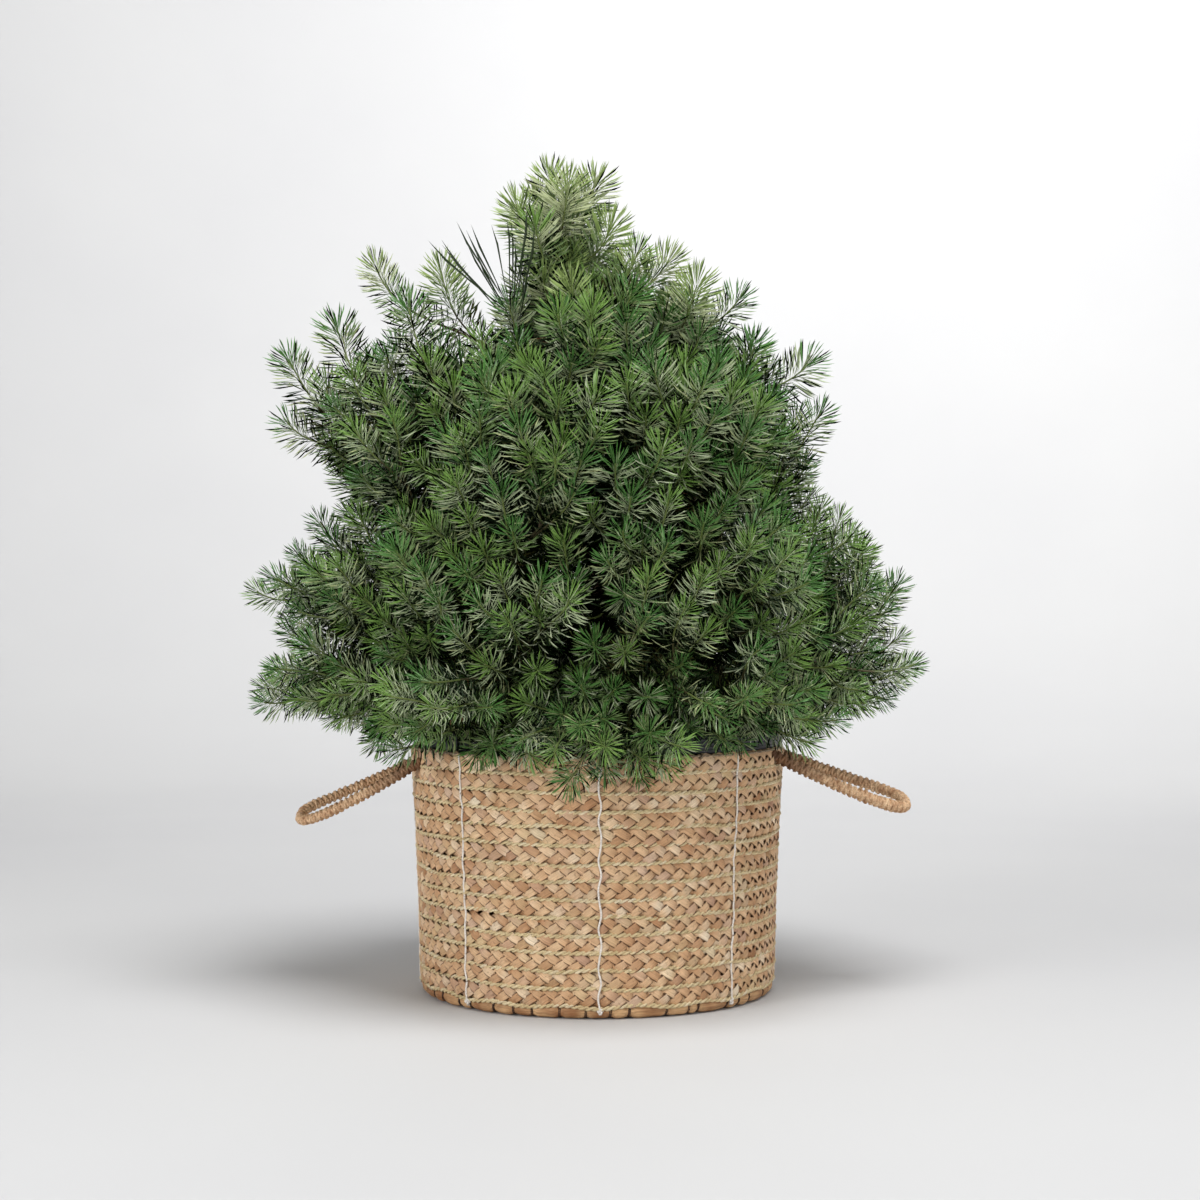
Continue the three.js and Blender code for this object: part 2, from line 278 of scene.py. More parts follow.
def leaf_finish(name, stops, patch_tints, patch_scale, edge_shade=0.0):
    """Dried leaf: tones that change from stalk to stalk and along it, stained patches, fibres, and
    edges painted dark where the strands lie on one another, as painted shade of the overlap."""
    finish = Finish(name, Roughness=0.6)
    finish.shader.inputs["Specular IOR Level"].default_value = 0.32
    stalk = finish.attribute("stalk")
    along = finish.attribute("along")
    tone = finish.noise(finish.vector(along * patch_scale, stalk * 37.0, 0.0), 1.0, 2.5, 0.55)
    base = finish.ramp(tone, stops)
    for number, (tint, amount) in enumerate(patch_tints):
        here = finish.vector(along * patch_scale * 0.7, stalk * 21.0, 5.0 + 8.0 * number)
        patch = finish.spread(finish.noise(here, 1.0, 1.5), 0.54, 0.66, 0.0, amount)
        base = finish.mix(patch, base, tint)
    streak = fibres(finish, 90.0, 26.0)
    base = finish.mix(finish.spread(streak, 0.35, 0.7, 0.0, 0.45), base, colour(104, 72, 42))
    spots = finish.noise(finish.place(), 420.0, 2.0)
    base = finish.mix(finish.spread(spots, 0.62, 0.74, 0.0, 0.4), base, colour(92, 60, 36))
    # Painted shade: the strand edges are darkened towards dark brown, standing in for the shade where one
    # strand lies on the next.
    painted_overlap_shade = finish.spread(finish.attribute("rim"), 0.74, 0.97, 0.0, edge_shade)
    finish.feed("Base Color", finish.mix(painted_overlap_shade, base, colour(70, 42, 24)))
    finish.feed("Roughness", finish.spread(streak, 0.3, 0.7, 0.46, 0.74))
    finish.bump(streak, 0.5 * MM, 0.7)
    return finish.material


BRAID_STOPS = [
    (0.26, colour(164, 118, 80)),
    (0.42, colour(212, 168, 126)),
    (0.56, colour(233, 197, 156)),
    (0.74, colour(252, 236, 208)),
]
BRAID_TINTS = [
    (colour(196, 162, 146), 0.5),
    (colour(212, 194, 146), 0.4),
    (colour(166, 110, 70), 0.5),
]
ROPE_STOPS = [
    (0.3, colour(206, 180, 134)),
    (0.5, colour(234, 214, 168)),
    (0.7, colour(248, 234, 202)),
]
braid_finish = leaf_finish("plaited_leaf", BRAID_STOPS, BRAID_TINTS, 27.0, 0.88)
straw_finish = leaf_finish("straw_rope", ROPE_STOPS, [(colour(200, 180, 128), 0.5)], 40.0)
print("dried leaf finishes:", braid_finish.name, straw_finish.name)

# %% [markdown]
# The handles are wrapped in a coarser, rustier fibre that is darkest where it is tied into the
# basket. The stitches are white cotton, the strand laid on the rim is grey with age, and what shows
# between the plaits is the brown lining behind them.


# %% Handle, cotton and lining finishes
def handle_finish():
    """Twisted brown fibre, darker near the basket and straw coloured out at the loop."""
    finish = Finish("handle_rope", Roughness=0.72)
    place = finish.place()
    reach = finish.node("ShaderNodeSeparateXYZ", None, {0: place}, output="X")
    out = finish.spread(reach.math("ABSOLUTE", reach), 0.138, 0.174)
    tone = finish.noise(place, 160.0, 3.0)
    dark = finish.ramp(tone, [(0.3, colour(84, 56, 36)), (0.7, colour(142, 102, 68))])
    light = finish.ramp(tone, [(0.3, colour(184, 140, 102)), (0.7, colour(240, 206, 166))])
    base = finish.mix(out, dark, light)
    strands = finish.noise(finish.stretch(place, (900.0, 260.0, 900.0)), 1.0, 3.0)
    base = finish.mix(finish.spread(strands, 0.42, 0.64, 0.0, 0.38), base, colour(96, 62, 40))
    finish.feed("Base Color", base)
    finish.feed("Roughness", finish.spread(strands, 0.3, 0.7, 0.6, 0.85))
    finish.bump(strands, 0.5 * MM, 0.8)
    return finish.material


def fibre_finish(name, dark, light, roughness, scale):
    """A plain thread or lining: two close tones dealt out by a fine noise, with a soft bump."""
    finish = Finish(name, Roughness=roughness)
    tone = finish.noise(finish.place(), scale, 4.0, 0.6)
    finish.feed("Base Color", finish.ramp(tone, [(0.35, dark), (0.65, light)]))
    finish.bump(tone, 0.3 * MM, 0.8)
    return finish.material


wrap_finish = handle_finish()
cotton_finish = fibre_finish("cotton_thread", colour(206, 196, 184), colour(240, 234, 226), 0.8, 900.0)
rim_finish = fibre_finish("rim_strand", colour(96, 78, 60), colour(170, 148, 120), 0.7, 500.0)
lining_finish = fibre_finish("basket_lining", colour(104, 74, 46), colour(138, 102, 68), 0.85, 300.0)
# The ties are real bindings. Their near-black tone is also painted shade for the pinched gaps of the foot
# coil.
tie_and_gap_shade_finish = fibre_finish("dark_tie", colour(40, 26, 18), colour(88, 58, 38), 0.75, 700.0)

# %% [markdown]
# The nursery pot is thin black plastic with a dull sheen and a little dust in its grooves. The
# compost is dark, damp and crumbly. Bark on so young a tree is thin: grey-brown scales with rusty
# gaps, so a cell pattern is stretched along the stem, and the gaps between the cells are sunk.


# %% Pot, compost and bark finishes
def plastic_finish():
    """Black moulded plastic with dust on it."""
    finish = Finish("black_plastic", Roughness=0.4)
    place = finish.place()
    dust = finish.noise(place, 60.0, 4.0, 0.65)
    tone = finish.ramp(dust, [(0.45, colour(22, 24, 28)), (0.75, colour(58, 60, 64))])
    finish.feed("Base Color", tone)
    finish.feed("Roughness", finish.spread(dust, 0.3, 0.75, 0.28, 0.62))
    finish.bump(finish.noise(place, 900.0, 2.0), 0.1 * MM, 0.5)
    return finish.material


def compost_finish():
    """Damp, dark peat with paler bits of bark in it."""
    finish = Finish("compost", Roughness=0.9)
    place = finish.place()
    crumbs = finish.noise(place, 260.0, 5.0, 0.7)
    tone = [(0.35, colour(26, 19, 14)), (0.55, colour(56, 42, 31)), (0.75, colour(104, 80, 58))]
    finish.feed("Base Color", finish.ramp(crumbs, tone))
    finish.bump(crumbs, 1.5 * MM, 1.0)
    return finish.material


def bark_finish():
    """Thin young bark: grey-brown scales drawn out along the stem, rusty in the gaps."""
    finish = Finish("pine_bark", Roughness=0.85)
    place = finish.place()
    sockets = {"Vector": finish.stretch(place, (260.0, 260.0, 110.0)), "Scale": 1.0}
    gap = finish.node("ShaderNodeTexVoronoi", {"feature": "DISTANCE_TO_EDGE"}, sockets)
    plate = finish.spread(gap, 0.02, 0.16)
    tone = finish.noise(place, 140.0, 4.0, 0.6)
    scales = finish.ramp(tone, [(0.3, colour(84, 66, 50)), (0.7, colour(148, 124, 98))])
    finish.feed("Base Color", finish.mix(plate, colour(66, 38, 24), scales))
    finish.feed("Roughness", finish.spread(tone, 0.3, 0.7, 0.72, 0.94))
    finish.bump(plate * 0.7 + tone * 0.5, 0.8 * MM, 1.0)
    return finish.material


pot_finish = plastic_finish()
peat_finish = compost_finish()
stem_finish = bark_finish()

# %% [markdown]
# Needles are too small for a pattern to show, so each spray takes one plain tint. The tints run
# from the yellow-green of a growing tip through the blue-green of the working needles to the khaki
# of last year's, with a few dead red-brown ones. Some tints are painted light: pale grey ones for
# highlights, and near-black ones for the shade deep in the crown and between needles. They are
# dealt out later, spray by spray.


# %% Needle and twig tints
WAXY_GLOSS = 0.4
DULL_GLOSS = 0.0
NEEDLE_ROUGHNESS = 0.36
TWIG_ROUGHNESS = 0.55


def plain_finish(name, tint, roughness, gloss=WAXY_GLOSS):
    """One tint all over a spray or a twig, with a waxy gloss unless another is given."""
    finish = Finish(name, Roughness=roughness)
    finish.shader.inputs["Base Color"].default_value = tint
    finish.shader.inputs["Specular IOR Level"].default_value = gloss
    return finish.material


TINTS = {
    "tuft_lime": colour(114, 150, 70),
    "tuft_green": colour(78, 124, 58),
    "collar_green": colour(110, 136, 80),
    "collar_grey": colour(154, 168, 128),
    # Painted light: the crest tints are pale for the stronger light near the top.
    "crest_green": colour(140, 161, 94),
    "crest_grey": colour(182, 191, 148),
    "shoot_green": colour(60, 78, 37),
    "shoot_blue": colour(52, 72, 45),
    # Painted shade: the core tints are near-black, for the shade between the bright needles.
    "core_deep": colour(13, 21, 8),
    "core_blue": colour(16, 25, 14),
    # Pale bloom of the needles' undersides, partly real and partly a painted highlight.
    "bloom_olive": colour(170, 178, 128),
    "bloom_grey": colour(186, 196, 162),
    "old_khaki": colour(64, 62, 34),
    # Painted shade: the dark old green is near-black, for the shade further back along a shoot.
    "old_green": colour(15, 22, 9),
    "dead_brown": colour(134, 82, 54),
    # Painted shade: shoots deep in the crown are near-black, for the shade they stand in.
    "shade_green": colour(6, 10, 3),
    "shade_olive": colour(8, 11, 4),
    "adult_dark": colour(36, 50, 27),
}
DULL_KINDS = ("core", "old", "shade")
TWIG_TINTS = {
    "twig_fresh": colour(104, 118, 60),
    "twig_green": colour(84, 78, 48),
}
needle_finish = {}
for name, tint in TINTS.items():
    gloss = DULL_GLOSS if name.split("_")[0] in DULL_KINDS else WAXY_GLOSS
    needle_finish[name] = plain_finish("needles_" + name, tint, NEEDLE_ROUGHNESS, gloss)
twig_finish = {name: plain_finish(name, tint, TWIG_ROUGHNESS) for name, tint in TWIG_TINTS.items()}
print("needle tints:", len(needle_finish))

# %% [markdown]
# ## Floor and light
#
# A pale floor that curves up into a wide, low bowl gives a calm background from every side and
# shows no hard horizon. One large soft lamp hangs overhead and a little to the front. Two smaller
# ones stand in front, the left one brighter than the right, a fourth lights the bowl behind, and
# the pale surroundings send the rest of the light back.


# %% Helpers that make plain meshes
def link(name, mesh):
    piece = bpy.data.objects.new(name, mesh)
    scene.collection.objects.link(piece)
    return piece


def solid(name, points, faces, finish, smooth=True):
    """A mesh object from points and faces, in one finish."""
    mesh = bpy.data.meshes.new(name)
    mesh.from_pydata([tuple(point) for point in points], [], faces)
    mesh.polygons.foreach_set("use_smooth", [smooth] * len(mesh.polygons))
    mesh.materials.append(finish)
    mesh.update()
    return link(name, mesh)


def grid_faces(rows, columns, closed_rows=False):
    """Quads between rows of points, where each row is a closed ring."""
    faces = []
    for row in range(rows if closed_rows else rows - 1):
        above = (row + 1) % rows
        for column in range(columns):
            beside = (column + 1) % columns
            corners = (row * columns + column, row * columns + beside)
            faces.append((*corners, above * columns + beside, above * columns + column))
    return faces


def weld(piece):
    """Merges the points that lie on one another, as at a pole, and turns every face outward."""
    shape = bmesh.new()
    shape.from_mesh(piece.data)
    bmesh.ops.remove_doubles(shape, verts=shape.verts, dist=1e-6)
    bmesh.ops.recalc_face_normals(shape, faces=shape.faces)
    shape.to_mesh(piece.data)
    shape.free()
    return piece


def revolve(name, profile, sides, finish, centre=(0.0, 0.0), closed=True):
    """Turns a profile of (radius, height) about an upright axis. An open profile starts and ends
    on the axis; a closed one joins its last point to its first."""
    angles = np.arange(sides) * math.tau / sides
    points = []
    for radius, height in profile:
        points.append(np.column_stack([
            centre[0] + radius * np.cos(angles),
            centre[1] + radius * np.sin(angles),
            np.full(sides, height),
        ]))
    faces = grid_faces(len(profile), sides, closed)
    return weld(solid(name, np.concatenate(points), faces, finish))


# %% Make the floor and the lamps
FLOOR_FLAT = 1.7
BOWL_RADIUS = 3.4
BOWL_TOP = 2.4
BOWL_STEPS = 24


def make_stage():
    """The bowl: flat under the plant, then rising along a smooth curve."""
    finish = Finish("pale_floor", Roughness=0.7)
    mottle = finish.noise(finish.place(), 1.4, 3.0)
    tones = [(0.3, colour(196, 196, 197)), (0.7, colour(201, 201, 201))]
    finish.feed("Base Color", finish.ramp(mottle, tones))
    profile = [(0.0, 0.0), (FLOOR_FLAT, 0.0)]
    for step in range(1, BOWL_STEPS + 1):
        turn = step / BOWL_STEPS * math.pi / 2
        across = FLOOR_FLAT + (BOWL_RADIUS - FLOOR_FLAT) * math.sin(turn)
        profile.append((across, BOWL_TOP * (1 - math.cos(turn))))
    floor = revolve("floor", profile, 96, finish.material, closed=False)
    floor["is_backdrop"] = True


def lamp(name, place, aim, size, power):
    """A square soft lamp that looks at a point."""
    data = bpy.data.lights.new(name, "AREA")
    data.size = size
    data.energy = power
    made = bpy.data.objects.new(name, data)
    made.location = place
    made.rotation_euler = (Vector(aim) - Vector(place)).to_track_quat("-Z", "Y").to_euler()
    scene.collection.objects.link(made)


make_stage()
MIDDLE = (0.0, 0.0, 0.3)
lamp("lamp_above", (0.3, -0.7, 2.4), MIDDLE, 1.3, 60.0)
lamp("lamp_left", (-1.9, -1.8, 0.9), MIDDLE, 0.9, 30.0)
lamp("lamp_right", (1.8, -2.0, 0.9), MIDDLE, 0.9, 16.0)
lamp("lamp_wall", (0.4, 1.5, 2.5), (0.4, 3.3, 1.5), 1.6, 56.0)

world = bpy.data.worlds.new("soft_room")
world.use_nodes = True
world.node_tree.nodes["Background"].inputs["Color"].default_value = (1.0, 1.0, 1.0, 1.0)
world.node_tree.nodes["Background"].inputs["Strength"].default_value = 0.22
scene.world = world
scene.view_settings.view_transform = "Standard"

# %% [markdown]
# ## Recipes
#
# A Geometry Nodes tree is a recipe: it is written once, has named inputs for its sizes, and is
# cooked on any source. Most sources here are bare lines that carry numbers on their points, such
# as how thick a strand is there. The cooked result replaces the source as a plain mesh, so
# nothing live is left on a finished piece.


# %% Write and run Geometry Nodes
SOCKET_TYPES = {float: "NodeSocketFloat", int: "NodeSocketInt"}


class Recipe(Graph):
    """A Geometry Nodes tree with named inputs, which ends in real, painted geometry."""

    def __init__(self, name, **inputs):
        super().__init__(bpy.data.node_groups.new(name, "GeometryNodeTree"))
        panel = self.tree.interface
        panel.new_socket("Geometry", in_out="INPUT", socket_type="NodeSocketGeometry")
        panel.new_socket("Geometry", in_out="OUTPUT", socket_type="NodeSocketGeometry")
        panel.new_socket("Finish", in_out="INPUT", socket_type="NodeSocketMaterial")
        for label, value in inputs.items():
            kind = SOCKET_TYPES.get(type(value), "NodeSocketObject")
            made = panel.new_socket(label, in_out="INPUT", socket_type=kind)
            if value is not None:
                made.default_value = value
        self.entry = self.tree.nodes.new("NodeGroupInput")

    def input(self, label):
        return Wire(self, self.entry.outputs[label])

    def carried(self, name, kind="FLOAT"):
        settings = {"data_type": kind}
        return self.node("GeometryNodeInputNamedAttribute", settings, {"Name": name})

    def store(self, geometry, name, value):
        settings = {"data_type": "FLOAT", "domain": "POINT"}
        sockets = {"Geometry": geometry, "Name": name, "Value": value}
        return self.node("GeometryNodeStoreNamedAttribute", settings, sockets)

    def random(self, low, high, seed):
        sockets = {2: low, 3: high, "Seed": seed}
        return self.node("FunctionNodeRandomValue", {"data_type": "FLOAT"}, sockets, output=1)

    def serve(self, geometry):
        """The tree's end: instances are made real, and the finish is put on."""
        real = self.node("GeometryNodeRealizeInstances", None, {"Geometry": geometry})
        sockets = {"Geometry": real, "Material": self.input("Finish")}
        painted = self.node("GeometryNodeSetMaterial", None, sockets)
        self.node("NodeGroupOutput", None, {"Geometry": painted})


def cook(recipe, source, finish, **inputs):
    """Runs a recipe on a source object, which then holds the plain mesh that came out."""
    modifier = source.modifiers.new("recipe", "NODES")
    modifier.node_group = recipe.tree
    inputs["Finish"] = finish
    for item in recipe.tree.interface.items_tree:
        if item.in_out == "INPUT" and item.name in inputs:
            modifier[item.identifier] = inputs[item.name]
    graph = bpy.context.evaluated_depsgraph_get()
    mesh = bpy.data.meshes.new_from_object(source.evaluated_get(graph), depsgraph=graph)
    source.modifiers.remove(modifier)
    source.data = mesh
    mesh.name = source.name
    print(f"{source.name}: {triangle_count(mesh)} triangles")
    return source


def triangle_count(mesh):
    totals = np.zeros(len(mesh.polygons), int)
    mesh.polygons.foreach_get("loop_total", totals)
    return int((totals - 2).sum())


def lines(name, paths, closed=False, **carried):
    """Bare lines through the given paths of points. Each keyword gives one array of numbers, or of
    vectors, per path, and its name becomes the name of a value that the points carry."""
    points = np.concatenate(paths)
    edges = []
    start = 0
    for path in paths:
        index = np.arange(start, start + len(path))
        edges.append(np.column_stack([index[:-1], index[1:]]))
        if closed:
            edges.append(np.array([[index[-1], index[0]]]))
        start += len(path)
    edges = np.concatenate(edges)
    mesh = bpy.data.meshes.new(name)
    mesh.vertices.add(len(points))
    mesh.vertices.foreach_set("co", points.astype(np.float32).ravel())
    mesh.edges.add(len(edges))
    mesh.edges.foreach_set("vertices", edges.astype(np.int32).ravel())
    for label, values in carried.items():
        values = np.concatenate(values)
        kind, field = ("FLOAT_VECTOR", "vector") if values.ndim == 2 else ("FLOAT", "value")
        made = mesh.attributes.new(label, kind, "POINT")
        made.data.foreach_set(field, values.astype(np.float32).ravel())
    return link(name, mesh)


def alike(paths, value):
    """The same number on every point of every path."""
    return [np.full(len(path), value) for path in paths]


# %% [markdown]
# The first recipe sweeps a flat oval along each line. It serves for plaited strands, rope plies,
# thread, twigs and ties alike. Two carried values shape the sweep: `girth` swells or narrows it,
# and `lean` rolls it about its own line. A third, `stalk`, tells strands apart for the finish.


# %% The strand recipe
def strand_recipe():
    recipe = Recipe("strand_along_a_line", Width=0.006, Thickness=0.002, Sides=8)
    curve = recipe.node("GeometryNodeMeshToCurve", None, {"Mesh": recipe.input("Geometry")})
    curve = recipe.node("GeometryNodeSetCurveNormal", {"mode": "Z_UP"}, {"Curve": curve})
    sockets = {"Curve": curve, "Tilt": recipe.carried("lean")}
    curve = recipe.node("GeometryNodeSetCurveTilt", None, sockets)
    length = recipe.node("GeometryNodeSplineParameter", output="Length")
    curve = recipe.store(curve, "along", length)
    oval = recipe.node("GeometryNodeCurvePrimitiveCircle", None,
                       {"Resolution": recipe.input("Sides"), "Radius": 0.5})
    around = recipe.node("GeometryNodeSplineParameter", output="Factor")
    oval = recipe.store(oval, "across", around)
    size = recipe.node("ShaderNodeCombineXYZ", None,
                       {"X": recipe.input("Thickness"), "Y": recipe.input("Width"), "Z": 1.0})
    where = recipe.node("GeometryNodeInputPosition")
    beside = recipe.node("ShaderNodeSeparateXYZ", None, {0: where}, output="Y")
    # rim: how near a point lies to the strand's edge. The leaf finish darkens strands by it as painted shade
    # of their overlaps.
    oval = recipe.store(oval, "rim", beside.math("ABSOLUTE", beside) * 2.0)
    oval = recipe.node("GeometryNodeSetPosition", None, {
        "Geometry": oval,
        "Position": recipe.node("ShaderNodeVectorMath", {"operation": "MULTIPLY"}, {0: where, 1: size}),
    })
    swept = recipe.node("GeometryNodeCurveToMesh", None, {
        "Curve": curve,
        "Profile Curve": oval,
        "Scale": recipe.carried("girth"),
        "Fill Caps": True,
    })
    recipe.serve(swept)
    return recipe


strand = strand_recipe()

# %% [markdown]
# ## The basket's plaits
#
# The wall is fourteen courses of a flat plait of three strands, laid one on another. In a plait
# each strand runs straight from edge to edge, folds over there, and dips behind its neighbours
# twice in each swing. That is a formula: the sideways swing is a softened zigzag, and the depth is
# a sine of twice the angle, with the three strands a third of a turn apart. The depth runs a
# little ahead, so a strand is already on top when it folds and shows as one long slanted leaf.
# A strand rolls towards its edge where it folds, and each course swells outward in its middle.


# %% Measure the wall
def corners_of(node):
    """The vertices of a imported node, as an array."""
    mesh = frame["nodes"][node].data
    points = np.zeros(len(mesh.vertices) * 3)
    mesh.vertices.foreach_get("co", points)
    return points.reshape(-1, 3)


def welded(node):
    """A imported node's points without doubles, and its triangles."""
    points, index = np.unique(np.round(corners_of(node), 6), axis=0, return_inverse=True)
    mesh = frame["nodes"][node].data
    triangles = np.zeros(len(mesh.loops), int)
    mesh.loops.foreach_get("vertex_index", triangles)
    return points, index.reshape(-1)[triangles].reshape(-1, 3)


def search_tree(points, triangles):
    return BVHTree.FromPolygons([tuple(point) for point in points], triangles.tolist())


RIM_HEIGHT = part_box("basket_wall")[1].z
wall_tree = search_tree(*welded("basket_wall"))
wall_levels = np.linspace(1.0 * MM, RIM_HEIGHT - 1.0 * MM, 60)
wall_radii = [wall_tree.ray_cast((1.0, 0.0, level), (-1.0, 0.0, 0.0))[0].x for level in wall_levels]


def wall_radius(height):
    """The basket's outer radius at a height."""
    return np.interp(height, wall_levels, wall_radii)


EDGE_HEIGHT = 9.0 * MM
COURSES = 14
COURSE_PITCH = (RIM_HEIGHT - EDGE_HEIGHT) / COURSES
course_heights = EDGE_HEIGHT + (np.arange(COURSES) + 0.5) * COURSE_PITCH
print("rim at", round(RIM_HEIGHT, 4), "courses", round(COURSE_PITCH, 5), "apart")

# %% Plait the courses
SEED = 7
PLAIT = {
    "swings": 25,
    "steps_per_swing": 16,
    "half_width": 5.15 * MM,
    "depth": 1.4 * MM,
    "lead": 0.5,
    "bulge": 2.1 * MM,
    "strand_width": 6.9 * MM,
    "strand_thickness": 1.35 * MM,
    "fold": 0.5,
    "inset": 1.0 * MM,
}


def ring_wave(angles, waves, chance):
    """A smooth uneven wave that closes on itself round the ring, about -1 to 1."""
    total = np.zeros_like(angles)
    for wave in waves:
        total += chance.normal(0.0, 0.5) * np.sin(wave * angles + chance.uniform(0, math.tau))
    return total


def plait_course(height, chance):
    """The three strands of one course: their lines, and what their points carry."""
    steps = PLAIT["swings"] * PLAIT["steps_per_swing"]
    angles = np.arange(steps) * math.tau / steps
    swings = PLAIT["swings"] + chance.integers(-1, 2)
    start = chance.uniform(0, math.tau)
    sag = 0.5 * MM * ring_wave(angles, (2, 3, 5), chance)
    paths, girths, leans, stalks = [], [], [], []
    for number in range(3):
        turn = swings * angles + start + number * math.tau / 3
        turn += 0.16 * ring_wave(angles, (7, 12, 19), chance)
        swing = (np.sin(turn) - np.sin(3 * turn) / 9 + np.sin(5 * turn) / 25) / 1.151
        loose = 1.0 + 0.05 * ring_wave(angles, (9, 17, 31, 44), chance)
        lift = PLAIT["half_width"] * swing * loose
        out = -PLAIT["depth"] * np.sin(2 * turn + PLAIT["lead"]) - PLAIT["bulge"] * swing ** 2
        out += 0.22 * MM * ring_wave(angles, (11, 23, 37), chance)
        level = height + lift + sag
        reach = wall_radius(level) - PLAIT["inset"] + out
        paths.append(np.column_stack([reach * np.cos(angles), reach * np.sin(angles), level]))
        girths.append(1.0 + 0.07 * ring_wave(angles, (8, 15, 27, 52), chance))
        leans.append(-PLAIT["fold"] * swing ** 3)
        stalks.append(np.full(steps, chance.uniform(0, 10)))
    return paths, girths, leans, stalks


def plait_piece(name, heights, chance):
    """Several courses of plait, swept as flat strands and joined in one piece."""
    columns = ([], [], [], [])
    for height in heights:
        for column, found in zip(columns, plait_course(height, chance)):
            column.extend(found)
    paths, girths, leans, stalks = columns
    source = lines(name, paths, closed=True, girth=girths, lean=leans, stalk=stalks)
    sizes = {"Width": PLAIT["strand_width"], "Thickness": PLAIT["strand_thickness"], "Sides": 8}
    return cook(strand, source, braid_finish, **sizes)


chance = np.random.default_rng(SEED)
half = COURSES // 2
plait_lower = plait_piece("plait_lower", course_heights[:half], chance)
plait_upper = plait_piece("plait_upper", course_heights[half:], chance)

# %% [markdown]
# Under each course runs a thin rope of pale straw, twisted from two plies. Each ply is a helix
# about the rope's own line, and the two are half a turn apart. The rope lies in the groove
# between two courses and is never quite level.

# %% Twist the straw ropes
ROPE = {"ply": 2.0 * MM, "offset": 0.9 * MM, "inset": 1.2 * MM, "lay": 9.5 * MM, "step": 1.75 * MM}


def rope_ring(height, chance):
    """Both plies of the rope that runs round the basket at one height."""
    around = math.tau * wall_radius(height)
    steps = round(around / ROPE["step"])
    twists = round(around / ROPE["lay"])
    angles = np.arange(steps) * math.tau / steps
    level = height + 0.8 * MM * ring_wave(angles, (2, 3, 5, 9, 16), chance)
    reach = wall_radius(height) - ROPE["inset"] + 0.6 * MM * ring_wave(angles, (3, 7, 13), chance)
    plies = []
    for ply in range(2):
        turn = twists * angles + ply * math.pi
        out = reach + ROPE["offset"] * np.cos(turn)
        lift = level + ROPE["offset"] * np.sin(turn)
        plies.append(np.column_stack([out * np.cos(angles), out * np.sin(angles), lift]))
    girths = [1.0 + 0.12 * ring_wave(angles, (9, 21, 47), chance) for ply in plies]
    return plies, girths


rope_paths, rope_girths = [], []
for height in course_heights - COURSE_PITCH / 2:
    found_paths, found_girths = rope_ring(height, chance)
    rope_paths += found_paths
    rope_girths += found_girths
straw_ropes = lines(
    "straw_ropes", rope_paths, closed=True, girth=rope_girths,
    lean=alike(rope_paths, 0.0),
    stalk=[np.full(len(path), chance.uniform(0, 10)) for path in rope_paths],
)
cook(strand, straw_ropes, straw_finish, Width=ROPE["ply"], Thickness=ROPE["ply"], Sides=5)

# %% [markdown]
# Eight white cotton stitches hold the courses together. Each is knotted near the foot and runs up
# to the rim. It rides over the swell of every plait, dips a little at every rope, and wanders.

# %% Sew the stitches
STITCH = {"thread": 1.5 * MM, "lines": 8, "first": -89.2, "step": 0.9 * MM, "wander": 0.85 * MM}


def stitch_path(angle, chance):
    """One line of stitching, from the foot to the rim."""
    levels = np.arange(2.5 * MM, RIM_HEIGHT - 1.0 * MM, STITCH["step"])
    course = (levels - EDGE_HEIGHT) / COURSE_PITCH
    at_rope = np.cos(course * math.tau)
    reach = wall_radius(levels) + 0.25 * MM - 0.15 * MM * at_rope
    foot = np.clip((EDGE_HEIGHT - levels) / EDGE_HEIGHT, 0, 1)
    reach -= 3.5 * MM * foot ** 2
    wander = np.zeros_like(levels)
    for waves in (0.37, 1.0, 1.63):
        wander += chance.normal(0, 0.45) * np.sin(course * waves * math.pi + chance.uniform(0, math.tau))
    side = STITCH["wander"] * wander / reach + math.radians(angle)
    return np.column_stack([reach * np.cos(side), reach * np.sin(side), levels])


def knot_path(centre, size):
    """A small overhand knot: a trefoil pressed against the wall."""
    turn = np.arange(36) * math.tau / 36
    out = np.array([centre[0], centre[1], 0.0]) / math.hypot(centre[0], centre[1])
    side = np.array([-out[1], out[0], 0.0])
    up = np.array([0.0, 0.0, 1.0])
    sideways = np.outer(np.sin(turn) + 2 * np.sin(2 * turn), side)
    flat = sideways + np.outer(np.cos(turn) - 2 * np.cos(2 * turn), up)
    return centre + size * (flat / 3 - 0.35 * np.outer(np.sin(3 * turn), out))


stitch_angles = STITCH["first"] + np.arange(STITCH["lines"]) * 360 / STITCH["lines"]
threads = [stitch_path(angle, chance) for angle in stitch_angles]
knots = [knot_path(thread[4], 2.0 * MM) for thread in threads]
stitches = lines(
    "cotton_stitches", threads + knots,
    girth=alike(threads + knots, 1.0),
    lean=alike(threads + knots, 0.0),
)
cook(strand, stitches, cotton_finish, Width=STITCH["thread"], Thickness=STITCH["thread"], Sides=6)

# %% [markdown]
# Along the top of the rim lies one thin grey strand, bound down here and there. At the foot a
# bundle of leaf runs round as a thick coil, tied about every two centimetres with dark bast, so
# it swells between the ties. The ties' near-black tone is partly painted shade for the pinched
# gaps between the swellings. Inside is a brown lining, and underneath a base laid in rounds.

# %% Rim strand, foot coil, lining and base
RIM_STRAND = 1.7 * MM
COIL = {
    "radius": 5.2 * MM, "ties": 46, "steps": 480, "sides": 12,
    "inset": 6.2 * MM, "level": 5.5 * MM, "tie_girth": 0.78,
    "pinch": 0.26, "pinch_turn": 0.02, "swell": 0.07,
}
LAP = 0.004


